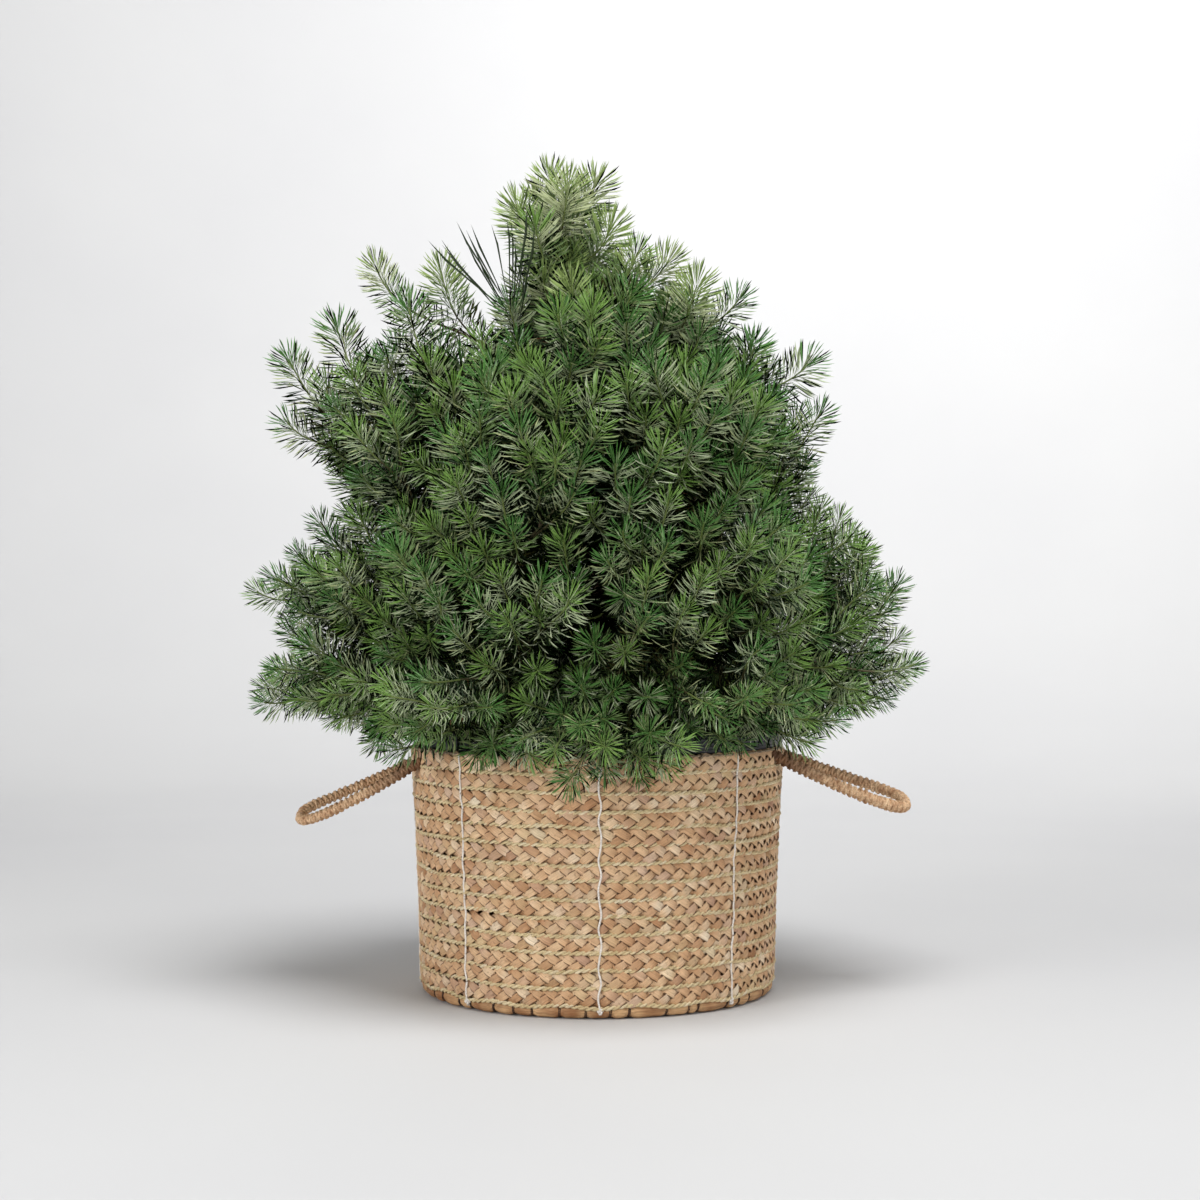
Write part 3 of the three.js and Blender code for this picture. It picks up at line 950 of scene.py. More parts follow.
def rim_paths(chance):
    """The strand on the rim, and the short turns that bind it down."""
    angles = np.arange(360) * math.tau / 360
    reach = wall_radius(RIM_HEIGHT) - 1.2 * MM + 0.3 * MM * ring_wave(angles, (3, 5, 8), chance)
    level = RIM_HEIGHT - 0.9 * MM + 0.25 * MM * ring_wave(angles, (2, 5, 9), chance)
    ring = np.column_stack([reach * np.cos(angles), reach * np.sin(angles), level])
    binds = []
    for angle in np.radians(stitch_angles - 14.0):
        turn = np.arange(14) * math.tau / 14
        out = wall_radius(RIM_HEIGHT) - 1.2 * MM + 1.5 * MM * np.cos(turn)
        side = angle + 0.006 * np.sin(turn)
        lift = RIM_HEIGHT - 1.0 * MM + 1.5 * MM * np.sin(turn)
        binds.append(np.column_stack([out * np.cos(side), out * np.sin(side), lift]))
    return [ring, *binds]


def foot_coil(chance):
    """The thick coil at the foot, pinched at every tie, and the ties themselves."""
    turns = np.arange(COIL["steps"]) * math.tau / COIL["steps"]
    uneven = chance.uniform(-0.3, 0.3, COIL["ties"])
    places = np.sort((np.arange(COIL["ties"]) + uneven) * math.tau / COIL["ties"])
    gap = np.abs((turns[:, None] - places[None, :] + math.pi) % math.tau - math.pi).min(axis=1)
    pinch = 1.0 - COIL["pinch"] * np.exp(-((gap / COIL["pinch_turn"]) ** 2))
    swell = pinch * (1.0 + COIL["swell"] * ring_wave(turns, (17, 31, 43, 59), chance))
    centre = wall_radius(EDGE_HEIGHT) - COIL["inset"]
    points = []
    for turn, size in zip(turns, swell):
        around = np.arange(COIL["sides"]) * math.tau / COIL["sides"]
        reach = centre + COIL["radius"] * size * np.cos(around)
        lift = COIL["level"] + COIL["radius"] * size * np.sin(around)
        points.append(np.column_stack([reach * math.cos(turn), reach * math.sin(turn), lift]))
    points = np.concatenate(points)
    faces = grid_faces(COIL["steps"], COIL["sides"], closed_rows=True)
    coil = weld(solid("foot_coil", points, faces, coil_finish))
    ties = []
    for place in places:
        for lap in (-LAP, LAP):
            around = np.arange(18) * math.tau / 18
            reach = centre + COIL["radius"] * COIL["tie_girth"] * np.cos(around)
            lift = COIL["level"] + COIL["radius"] * COIL["tie_girth"] * np.sin(around)
            side = place + lap + LAP * np.sin(around)
            ties.append(np.column_stack([reach * np.cos(side), reach * np.sin(side), lift]))
    return coil, ties


def coil_leaf():
    """Bundled leaf seen lengthways: streaks that run round the foot."""
    finish = Finish("bundled_leaf", Roughness=0.65)
    place = finish.place()
    split = finish.node("ShaderNodeSeparateXYZ", None, {0: place}, output="Z")
    x = finish.node("ShaderNodeSeparateXYZ", None, {0: place}, output="X")
    y = finish.node("ShaderNodeSeparateXYZ", None, {0: place}, output="Y")
    angle = x.math("ARCTAN2", y, x)
    reach = (x * x + y * y) ** 0.5
    flow = finish.vector(angle * 3.0, reach * 900.0, split * 900.0)
    streak = finish.noise(flow, 1.0, 3.0, 0.6)
    patch = finish.noise(place, 55.0, 2.0)
    base = finish.ramp(patch, [(0.35, colour(156, 106, 64)), (0.62, colour(212, 170, 122))])
    base = finish.mix(finish.spread(streak, 0.4, 0.66, 0.0, 0.5), base, colour(96, 62, 36))
    finish.feed("Base Color", base)
    finish.feed("Roughness", finish.spread(streak, 0.3, 0.7, 0.5, 0.8))
    finish.bump(streak, 0.6 * MM, 0.9)
    return finish.material


coil_finish = coil_leaf()
rim_lines = rim_paths(chance)
rim_strand = lines(
    "rim_strand", rim_lines, closed=True,
    girth=alike(rim_lines, 1.0),
    lean=alike(rim_lines, 0.0),
)
cook(strand, rim_strand, rim_finish, Width=RIM_STRAND, Thickness=RIM_STRAND, Sides=6)
foot, tie_lines = foot_coil(chance)
foot_ties = lines(
    "foot_ties", tie_lines, closed=True,
    girth=alike(tie_lines, 1.0),
    lean=alike(tie_lines, 0.0),
)
cook(strand, foot_ties, tie_and_gap_shade_finish, Width=1.0 * MM, Thickness=0.9 * MM, Sides=5)

LINING_GAP = 5.2 * MM
LINING_WALL = 1.2 * MM
lining_levels = np.linspace(4.0 * MM, RIM_HEIGHT - 3.0 * MM, 12)
outer = [(wall_radius(level) - LINING_GAP, level) for level in lining_levels]
inner = [(reach - LINING_WALL, level) for reach, level in reversed(outer)]
lining = revolve("basket_lining", outer + inner, 72, lining_finish)

base_reach = wall_radius(EDGE_HEIGHT) - 9.0 * MM
BASE_COILS = 11
STEPS_PER_COIL = 4
base_rings = []
for step in range(BASE_COILS * STEPS_PER_COIL + 1):
    share = step / (BASE_COILS * STEPS_PER_COIL)
    ripple = abs(math.sin(step * math.pi / STEPS_PER_COIL))
    base_rings.append((base_reach * share, 1.5 * MM - 1.1 * MM * ripple))
base_rings += [(base_reach, 6.0 * MM), (0.0, 6.0 * MM)]
basket_floor = revolve("basket_floor", base_rings, 72, coil_finish, closed=False)
print("basket:", len(threads), "stitches,", len(tie_lines), "ties")

# %% Give the basket's pieces their body
WALL_PIECES = [plait_lower, plait_upper, straw_ropes, stitches, rim_strand, lining]
for piece in WALL_PIECES:
    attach(piece, "root")
    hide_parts("basket_wall")
for piece in (foot, foot_ties, basket_floor):
    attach(piece, "root")
    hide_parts("basket_base")

# %% [markdown]
# ## The rope handles
#
# Each handle is one loop of rope, rooted in the top course at two places and drooping outward.
# The rope is a core wound with half hitches, which read as rows of little slanted turns. So a
# ring is dealt out along the line every two millimetres or so, leaning one way, then the other.


# %% The winding recipe
def winding_recipe():
    recipe = Recipe("winding_along_a_line", Spacing=0.0023, Slant=0.4, Ring=None)
    curve = recipe.node("GeometryNodeMeshToCurve", None, {"Mesh": recipe.input("Geometry")})
    sockets = {"Curve": curve, "Length": recipe.input("Spacing")}
    curve = recipe.node("GeometryNodeResampleCurve", {"mode": "LENGTH"}, sockets)
    facing = recipe.node("FunctionNodeAlignRotationToVector", {"axis": "Z"},
                         {"Vector": recipe.node("GeometryNodeInputTangent")})
    level = recipe.node("FunctionNodeAlignRotationToVector", {"axis": "Y", "pivot_axis": "Z"},
                        {"Rotation": facing, "Vector": (0.0, 0.0, 1.0)})
    index = recipe.node("GeometryNodeInputIndex")
    side = 1.0 - 2.0 * index.math("MODULO", index, 2.0)
    tip = recipe.node("ShaderNodeCombineXYZ", None, {
        "X": side * recipe.input("Slant") + recipe.random(-0.1, 0.1, 3),
        "Y": recipe.random(-0.12, 0.12, 4),
    })
    turned = recipe.node("FunctionNodeRotateRotation", {"rotation_space": "LOCAL"}, {
        "Rotation": level,
        "Rotate By": recipe.node("FunctionNodeEulerToRotation", None, {"Euler": tip}),
    })
    ring = recipe.node("GeometryNodeObjectInfo", None, {"Object": recipe.input("Ring")},
                       output="Geometry")
    wound = recipe.node("GeometryNodeInstanceOnPoints", None, {
        "Points": curve,
        "Instance": ring,
        "Rotation": turned,
        "Scale": recipe.carried("girth") * recipe.random(0.93, 1.07, 5),
    })
    recipe.serve(wound)
    return recipe


winding = winding_recipe()

# %% Bend and wind the handles
HANDLE_SPREAD = 50.0 * MM
HANDLE_DROOP = 3.2
HANDLE_ROUNDING = 2.7
HANDLE_TWIST = 4.0 * MM
ROOT_DEPTH = 8.0 * MM
TIP_THINNING = 0.16
STRAND_OF_WINDING = 1.25 * MM
HANDLES = {
    "handle_right": {"side": 1, "radius": 4.9 * MM, "root": 182.0 * MM, "tip": 140.0 * MM},
    "handle_left": {"side": -1, "radius": 4.4 * MM, "root": 178.0 * MM, "tip": 130.0 * MM},
}


def handle_line(node, facts):
    """The loop's middle line, from one root out to the tip and back to the other root."""
    low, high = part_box(node)
    reach = max(abs(low.x), abs(high.x)) - facts["radius"]
    root_out = math.sqrt(wall_radius(RIM_HEIGHT) ** 2 - HANDLE_SPREAD ** 2) - ROOT_DEPTH
    across = np.linspace(-1, 1, 61)
    out = reach + (root_out - reach) * np.abs(across) ** HANDLE_ROUNDING
    level = facts["tip"] + (facts["root"] - facts["tip"]) * np.abs(across) ** HANDLE_DROOP
    level += facts["side"] * HANDLE_TWIST * np.sin(across * math.pi)
    return np.column_stack([facts["side"] * out, facts["side"] * across * HANDLE_SPREAD, level])


def ring_shape(name, radius, thickness, stretch):
    """One turn of the winding: a ring a little taller than wide, as it lies aslant."""
    around = np.arange(16) * math.tau / 16
    section = np.arange(5) * math.tau / 5
    points = []
    for turn in around:
        reach = radius + thickness * np.cos(section)
        points.append(np.column_stack([
            reach * math.cos(turn), reach * math.sin(turn) * stretch, thickness * np.sin(section),
        ]))
    return weld(solid(name, np.concatenate(points), grid_faces(16, 5, closed_rows=True), wrap_finish))


def make_handle(node, facts):
    path = handle_line(node, facts)
    core_width = 2 * (facts["radius"] - STRAND_OF_WINDING)
    girth = 1.0 - TIP_THINNING * np.exp(-((np.linspace(-1, 1, len(path)) / 0.3) ** 2))
    core = lines(node + "_core", [path], girth=[girth], lean=alike([path], 0.0))
    cook(strand, core, wrap_finish, Width=core_width, Thickness=core_width, Sides=10)
    ring = ring_shape("ring", facts["radius"] - STRAND_OF_WINDING, STRAND_OF_WINDING, 1.06)
    wound = lines(node + "_winding", [path], girth=[girth])
    cook(winding, wound, wrap_finish, Spacing=2.3 * MM, Slant=0.42, Ring=ring)
    bpy.data.objects.remove(ring)
    for piece in (core, wound):
        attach(piece, "root")
        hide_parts(node)


for node, facts in HANDLES.items():
    make_handle(node, facts)

# %% [markdown]
# ## The nursery pot and its compost
#
# The pot is blow-moulded: thin walls, a shoulder, and a rolled lip with fine ridges that rests on
# the basket's rim. Only the lip shows, but the whole pot is turned from one profile. The compost
# is an uneven disc with crumbs strewn over it.

# %% Turn the pot
pot_low, pot_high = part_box("nursery_pot")
POT_CENTRE = ((pot_low.x + pot_high.x) / 2, (pot_low.y + pot_high.y) / 2)
LIP_REACH = (pot_high.x - pot_low.x) / 2
POT_WALL = 2.4 * MM
SHOULDER_REACH = 126.0 * MM
FOOT_REACH = 98.0 * MM
LIP_FOOT = 184.4 * MM
LIP_RIDGES = 4


def pot_profile():
    """The pot's section from the middle of its underside, up the outside, over the lip and back
    down the inside to the middle of its floor."""
    outside = [(0.0, pot_low.z), (FOOT_REACH * 0.6, pot_low.z + 1.5 * MM), (FOOT_REACH - 3 * MM, pot_low.z)]
    outside.append((FOOT_REACH, pot_low.z + 3 * MM))
    outside.append((SHOULDER_REACH, LIP_FOOT - 14 * MM))
    outside.append((SHOULDER_REACH, LIP_FOOT + 1.0 * MM))
    outside.append((LIP_REACH - 1.2 * MM, LIP_FOOT))
    lip_height = pot_high.z - LIP_FOOT
    for step in range(LIP_RIDGES * 4 + 1):
        share = step / (LIP_RIDGES * 4)
        ridge = 0.7 * MM * abs(math.sin(share * LIP_RIDGES * math.pi))
        outside.append((LIP_REACH - 1.0 * MM + ridge, LIP_FOOT + 0.8 * MM + share * (lip_height - 2.6 * MM)))
    outside.append((LIP_REACH - 0.6 * MM, pot_high.z - 0.8 * MM))
    outside.append((LIP_REACH - 1.8 * MM, pot_high.z))
    inside = [(LIP_REACH - 3.4 * MM, pot_high.z - 0.6 * MM)]
    inside.append((LIP_REACH - 4.2 * MM, LIP_FOOT + 3.4 * MM))
    inside.append((SHOULDER_REACH - POT_WALL, LIP_FOOT + 1.6 * MM))
    inside.append((SHOULDER_REACH - POT_WALL, LIP_FOOT - 14 * MM))
    inside.append((FOOT_REACH - POT_WALL, pot_low.z + 4 * MM))
    inside.append((0.0, pot_low.z + 3.4 * MM))
    return outside + inside


pot = revolve("nursery_pot_shell", pot_profile(), 160, pot_finish, POT_CENTRE, closed=False)
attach(pot, "root")
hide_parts("nursery_pot")

# %% Fill in the compost
soil_low, soil_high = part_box("soil")
SOIL_REACH = (soil_high.x - soil_low.x) / 2 - 0.5 * MM
CRUMBS_PER_SQUARE_METRE = 22000.0


def compost_profile():
    rings = [(0.0, soil_high.z)]
    for step in range(1, 41):
        rings.append((SOIL_REACH * step / 40, soil_high.z))
    rings.append((SOIL_REACH - 6 * MM, soil_high.z - 14 * MM))
    rings.append((0.0, soil_high.z - 14 * MM))
    return rings


def crumble(piece, top, height):
    """Lifts and sinks the points of the upper surface."""
    for vertex in piece.data.vertices:
        if vertex.co.z > top - 1.0 * MM:
            lump = noise.noise(vertex.co * 55.0) + 0.5 * noise.noise(vertex.co * 160.0)
            vertex.co.z = top + height * (lump - 0.8)


compost = revolve("compost_bed", compost_profile(), 120, peat_finish, POT_CENTRE, closed=False)
crumble(compost, soil_high.z, 2.2 * MM)


def crumb_shape():
    """A lumpy, flattened crumb of twenty faces, about one metre across before it is scaled down."""
    mesh = bpy.data.meshes.new("crumb")
    shape = bmesh.new()
    bmesh.ops.create_icosphere(shape, subdivisions=1, radius=0.5)
    for vertex in shape.verts:
        vertex.co *= 0.8 + 0.5 * noise.noise(vertex.co * 3.1)
        vertex.co.z *= 0.6
    shape.to_mesh(mesh)
    shape.free()
    return link("crumb", mesh)


def crumb_recipe():
    recipe = Recipe("crumbs_on_a_surface", Density=1000.0, Seed=1, Crumb=None)
    faces = recipe.node("GeometryNodeInputNormal")
    up = recipe.node("ShaderNodeSeparateXYZ", None, {0: faces}, output="Z")
    dealt = recipe.node("GeometryNodeDistributePointsOnFaces", None, {
        "Mesh": recipe.input("Geometry"),
        "Selection": up.math("GREATER_THAN", up, 0.5),
        "Density": recipe.input("Density"),
        "Seed": recipe.input("Seed"),
    })
    turn = recipe.node("ShaderNodeCombineXYZ", None, {
        "X": recipe.random(-0.6, 0.6, 1), "Y": recipe.random(-0.6, 0.6, 2), "Z": recipe.random(0.0, 6.28, 3),
    })
    crumb = recipe.node("GeometryNodeObjectInfo", None, {"Object": recipe.input("Crumb")}, output="Geometry")
    small = recipe.random(0.0, 1.0, 4)
    strewn = recipe.node("GeometryNodeInstanceOnPoints", None, {
        "Points": dealt,
        "Instance": crumb,
        "Rotation": recipe.node("FunctionNodeEulerToRotation", None, {"Euler": turn}),
        "Scale": 0.0015 + 0.004 * small * small * small,
    })
    recipe.serve(strewn)
    return recipe


crumb = crumb_shape()
crumbs = link("compost_crumbs", compost.data.copy())
cook(crumb_recipe(), crumbs, peat_finish, Density=CRUMBS_PER_SQUARE_METRE, Seed=SEED, Crumb=crumb)
bpy.data.objects.remove(crumb)
for piece in (compost, crumbs):
    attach(piece, "root")
    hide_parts("soil")

# %% [markdown]
# ## Trunk and boughs
#
# The frame's trunk and boughs are plain tapering limbs. Their middle lines and thicknesses are
# read back by slicing them, and new limbs are swept along those lines with many more faces. The
# relief of the bark is pushed into the mesh: scales drawn out along the limb, with cracks between.


# %% Slice the limbs
def unit(vectors):
    vectors = np.asarray(vectors, float)
    return vectors / np.linalg.norm(vectors, axis=-1, keepdims=True)


def slice_limb(node, direction, count, margin=0.6 * MM):
    """Cuts a limb at even steps along a direction. Gives the middle and radius of each cut."""
    points, triangles = welded(node)
    ends = points[np.concatenate([triangles[:, [0, 1]], triangles[:, [1, 2]], triangles[:, [2, 0]]])]
    along = ends @ direction
    low, high = (points @ direction).min() + margin, (points @ direction).max() - margin
    middles, radii = [], []
    for level in np.linspace(low, high, count):
        crossing = (along.min(axis=1) <= level) & (along.max(axis=1) > level)
        start, stop = ends[crossing, 0], ends[crossing, 1]
        share = (level - along[crossing, 0]) / (along[crossing, 1] - along[crossing, 0])
        cuts = start + (stop - start) * share[:, None]
        middle = (cuts.min(axis=0) + cuts.max(axis=0)) / 2
        middles.append(middle)
        radii.append(np.median(np.linalg.norm(cuts - middle, axis=1)))
    return np.array(middles), np.array(radii)


BOUGH_NODES = sorted(name for name in frame["nodes"] if name.startswith("bough_"))
trunk_line, trunk_radii = slice_limb("trunk", np.array([0.0, 0.0, 1.0]), 40)


def trunk_at(height):
    """The middle of the trunk at a height, or of its tip above that."""
    return np.column_stack([
        np.interp(height, trunk_line[:, 2], trunk_line[:, axis]) for axis in range(3)
    ])


def bough_line(node):
    """A bough's middle line and radii, from the trunk outward."""
    points, triangles = welded(node)
    centre = points.mean(axis=0)
    main = np.linalg.svd(points - centre)[2][0]
    outward = centre - trunk_at(np.array([centre[2]]))[0]
    direction = main if main @ outward > 0 else -main
    middles, radii = slice_limb(node, direction, 9)
    inside = middles[0] - unit(middles[1] - middles[0]) * 4.0 * MM
    return np.vstack([inside, middles]), np.concatenate([[radii[0]], radii])


boughs = {node: bough_line(node) for node in BOUGH_NODES}
print("boughs:", len(boughs), "of", len(BOUGH_NODES))

# %% Sweep the bark
BARK_DEPTH = 0.085
TRUNK_SIDES, TRUNK_ROWS = 28, 240
BOUGH_SIDES, BOUGH_ROWS = 14, 40


def frames_along(line):
    """Tangents of a line, and two directions across it that don't spin."""
    tangents = unit(np.gradient(line, axis=0))
    side = unit(np.cross(tangents[0], [0.31, 0.87, 0.38]))
    sides = []
    for tangent in tangents:
        side = unit(side - tangent * (side @ tangent))
        sides.append(side)
    sides = np.array(sides)
    return tangents, sides, np.cross(tangents, sides)


def even_line(line, radii, count):
    """The same line and radii at evenly spaced points."""
    steps = np.concatenate([[0.0], np.cumsum(np.linalg.norm(np.diff(line, axis=0), axis=1))])
    wanted = np.linspace(0, steps[-1], count)
    resampled = np.column_stack([np.interp(wanted, steps, line[:, axis]) for axis in range(3)])
    return resampled, np.interp(wanted, steps, radii)


def bark_relief(point, tangent):
    """How far the bark stands proud here, from scales drawn out along the limb."""
    place = Vector(point)
    drawn = place - Vector(tangent) * place.dot(Vector(tangent)) * 0.55
    gaps = noise.voronoi(drawn * 260.0)[0]
    scale = min((gaps[1] - gaps[0]) * 3.0, 1.0)
    return scale - 0.6 + 0.6 * noise.noise(place * 120.0)


def limb_points(line, radii, sides, rows):
    """Rings of points round a limb, with the bark's relief, closed by a point at each end."""
    line, radii = even_line(line, radii, rows)
    tangents, across, over = frames_along(line)
    around = np.arange(sides) * math.tau / sides
    rings = []
    for middle, radius, tangent, first, second in zip(line, radii, tangents, across, over):
        ring = np.outer(np.cos(around), first) + np.outer(np.sin(around), second)
        relief = np.array([bark_relief(middle + radius * spoke, tangent) for spoke in ring])
        rings.append(middle + ring * (radius * (1 + BARK_DEPTH * relief))[:, None])
    low = np.repeat(line[:1], sides, axis=0)
    high = np.repeat(line[-1:] + tangents[-1:] * radii[-1] * 0.5, sides, axis=0)
    return np.concatenate([low, *rings, high]), grid_faces(rows + 2, sides)


def bark_piece(name, limbs, sides, rows):
    points, faces = [], []
    for line, radii in limbs:
        found, made = limb_points(line, radii, sides, rows)
        shift = sum(len(part) for part in points)
        points.append(found)
        faces += [tuple(corner + shift for corner in face) for face in made]
    piece = solid(name, np.concatenate(points), faces, stem_finish)
    print(f"{name}: {triangle_count(piece.data)} triangles")
    return piece


bark_trunk = bark_piece("bark_trunk", [(trunk_line, trunk_radii)], TRUNK_SIDES, TRUNK_ROWS)
bark_boughs = bark_piece("bark_boughs", boughs.values(), BOUGH_SIDES, BOUGH_ROWS)
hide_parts("trunk")
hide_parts(*BOUGH_NODES)
for piece in (bark_trunk, bark_boughs):
    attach(piece, "root")

# %% [markdown]
# ## The crown as one volume
#
# The frame shows the crown as separate masses with slits between them, round a bare trunk. On the
# real tree the shoots of neighbouring boughs close up, and only dark hollows are left. So the
# crown is first marked out as a block of small cells. The space round the trunk is added, and
# every hollow narrower than about nine centimetres is filled: the marked cells are spread
# outwards by a few steps and then worn back by as many. The depth of a cell is the number of
# steps that it survives when the crown is worn away.

# %% Mark out the crown
FOLIAGE = sorted(name for name in frame["nodes"] if name.startswith("foliage_"))
CELL = 9.0 * MM
MARGIN = 7
CLOSING = 5
DEEPEST = 6
POT_SPACE = {"height": 212.0 * MM, "radius": 148.0 * MM}
HEART = [(0.21, 90.0 * MM), (0.46, 62.0 * MM), (0.57, 0.0)]
masses = {node: welded(node) for node in FOLIAGE}


def spread_cells(cells, radius):
    """Marks every cell within a radius, counted in cells, of a marked one."""
    steps = range(-radius, radius + 1)
    grown = np.zeros_like(cells)
    for shift in itertools.product(steps, steps, steps):
        if sum(step * step for step in shift) <= radius * radius:
            grown |= np.roll(cells, shift, axis=(0, 1, 2))
    return grown


def inside(tree, place):
    """Whether a place is inside the closed shape that a search tree holds."""
    near, facing, face, gap = tree.find_nearest(place)
    return (place - near).dot(facing) < 0


def all_masses():
    """Every mass of the crown as one set of points and triangles."""
    points = [found[0] for found in masses.values()]
    starts = np.cumsum([0] + [len(rows) for rows in points])
    triangles = [found[1] + start for found, start in zip(masses.values(), starts)]
    return np.vstack(points), np.vstack(triangles)


crown_points, crown_triangles = all_masses()
crown_tree = search_tree(crown_points, crown_triangles)
block_corner = crown_points.min(axis=0) - MARGIN * CELL
block_size = np.ceil((crown_points.max(axis=0) - block_corner) / CELL).astype(int) + MARGIN
cell_centres = block_corner + (np.indices(block_size).reshape(3, -1).T + 0.5) * CELL
filled = np.array([inside(crown_tree, Vector(place)) for place in cell_centres]).reshape(block_size)
from_trunk = np.linalg.norm(cell_centres - trunk_at(cell_centres[:, 2]), axis=1)
heart = from_trunk < np.interp(cell_centres[:, 2], *zip(*HEART), left=0.0, right=0.0)
filled |= heart.reshape(block_size)
crown = ~spread_cells(~spread_cells(filled, CLOSING), CLOSING)
over_pot = np.hypot(cell_centres[:, 0], cell_centres[:, 1]) < POT_SPACE["radius"]
over_pot &= cell_centres[:, 2] < POT_SPACE["height"]
crown &= ~over_pot.reshape(block_size)
cell_depth = sum(~spread_cells(~crown, step) for step in range(1, DEEPEST + 1))
cell_litre = (CELL * 10) ** 3
litres = [round(cells.sum() * cell_litre, 1) for cells in (filled, crown)]
print("litres in the masses:", litres[0], "closed up:", litres[1])

# %% [markdown]
# ## Where the shoots end
#
# Every shoot ends in a bud. Some shoots stand proud of the rest and give the tree its outline:
# the cluster of the leader, the pair at its left, the steps down its right. They are placed one by
# one: each row below gives where one ends, in metres across, deep and high, and how many degrees
# it leans. The other outer buds lie just inside the open surfaces of the masses and under the
# skyline, at least 22 mm apart. The bumps of the masses come first, because those are the crown's
# furthest tips. Then buds are strewn through the closed-up crown: in its creases, where they are
# still seen, and further in, where they only make the shade.

# %% Strew the buds
SEED_OF_CROWN = SEED + 1
PROUD_SHOOTS = [
    (-0.036, -0.004, 0.613, -3),
    (-0.001, 0.004, 0.609, 10),
    (-0.022, -0.026, 0.601, 2),
    (-0.061, -0.008, 0.590, -12),
    (-0.046, 0.022, 0.598, -4),
    (-0.012, 0.030, 0.594, 6),
    (0.010, -0.022, 0.572, 8),
    (-0.046, -0.036, 0.570, -6),
    (-0.066, -0.030, 0.512, -22),
    (0.030, -0.030, 0.552, 14),
    (0.053, -0.020, 0.546, 22),
    (0.074, -0.034, 0.527, 16),
    (0.106, -0.020, 0.518, 26),
    (-0.116, -0.030, 0.538, -2),
    (-0.139, -0.048, 0.508, -6),
    (-0.166, -0.026, 0.543, -6),
    (-0.194, -0.030, 0.496, -12),
    (-0.231, -0.020, 0.473, -26),
    (-0.232, -0.024, 0.426, -34),
    (0.158, -0.020, 0.470, 24),
    (0.166, -0.030, 0.432, 30),
    (0.232, -0.060, 0.246, 62),
]
PROUD_ROOM = 33.0 * MM
TIP_INSET = 16.0 * MM
BUD_INSET = (13.0 * MM, 34.0 * MM)
SPACING = {"outer": 22.0 * MM, "crease": 23.0 * MM, "shade": 26.0 * MM}
SKYLINE = [
    (-0.250, 0.300), (-0.225, 0.330), (-0.215, 0.430), (-0.195, 0.465), (-0.165, 0.488),
    (-0.090, 0.486), (-0.070, 0.505), (-0.055, 0.555), (-0.030, 0.590), (0.005, 0.585),
    (0.020, 0.545), (0.060, 0.528), (0.100, 0.508), (0.125, 0.484), (0.150, 0.450),
    (0.170, 0.385), (0.200, 0.335), (0.225, 0.315), (0.245, 0.280),
]
SKY_REACH = 0.09
STREWN_PER_MASS = 900
UNDERSIDE = -0.35
UNDERSIDE_KEPT = 0.4


def below_skyline(place):
    """Whether a bud here is low enough to leave the proud shoots standing clear."""
    return place[2] < np.interp(place[0], *zip(*SKYLINE))


def open_sky(place, facing):
    """Whether no other part of the crown lies close outside this point of a mass."""
    start = Vector(place) + Vector(facing) * 0.6 * MM
    return crown_tree.ray_cast(start, Vector(facing), SKY_REACH)[0] is None


def bumps(points, triangles):
    """The points of a mass that stand further from its middle than all their neighbours."""
    middle = points.mean(axis=0)
    reach = np.linalg.norm(points - middle, axis=1)
    highest = np.zeros(len(points))
    for first, second in ((0, 1), (1, 2), (2, 0)):
        np.maximum.at(highest, triangles[:, first], reach[triangles[:, second]])
        np.maximum.at(highest, triangles[:, second], reach[triangles[:, first]])
    tops = points[reach > highest]
    return tops, unit(tops - middle)


def strew_over(points, triangles, count, chance):
    """Random points over a mass, spread evenly by area, with the direction that each faces."""
    first, second, third = (points[triangles[:, corner]] for corner in range(3))
    normals = np.cross(second - first, third - first)
    area = np.linalg.norm(normals, axis=1)
    picked = chance.choice(len(triangles), count, p=area / area.sum())
    share = chance.random((count, 2))
    share[share.sum(axis=1) > 1] = 1 - share[share.sum(axis=1) > 1]
    places = first[picked] + share[:, :1] * (second - first)[picked] + share[:, 1:] * (third - first)[picked]
    return places, unit(normals[picked])


def strew_inside(shallowest, deepest, chance):
    """One random point in every crown cell of a depth, facing away from the trunk."""
    chosen = (crown & (cell_depth >= shallowest) & (cell_depth <= deepest)).ravel()
    places = chance.permutation(cell_centres[chosen])
    places = places + chance.uniform(-0.5, 0.5, places.shape) * CELL
    outward = places - trunk_at(places[:, 2])
    return [(place, facing) for place, facing in zip(places, unit(outward))]


def settle(candidates, spacing, kept):
    """Adds the candidates under the skyline that are far enough from every kept bud, in order."""
    taken = np.zeros((len(kept) + len(candidates), 3))
    room = np.full(len(taken), spacing)
    room[: len(PROUD_SHOOTS)] = PROUD_ROOM
    count = len(kept)
    taken[:count] = [place for place, facing in kept]
    for place, facing in candidates:
        crowded = (np.linalg.norm(taken[:count] - place, axis=1) < room[:count]).any()
        if crowded or not below_skyline(place):
            continue
        taken[count] = place
        kept.append((place, facing))
        count += 1
    return kept


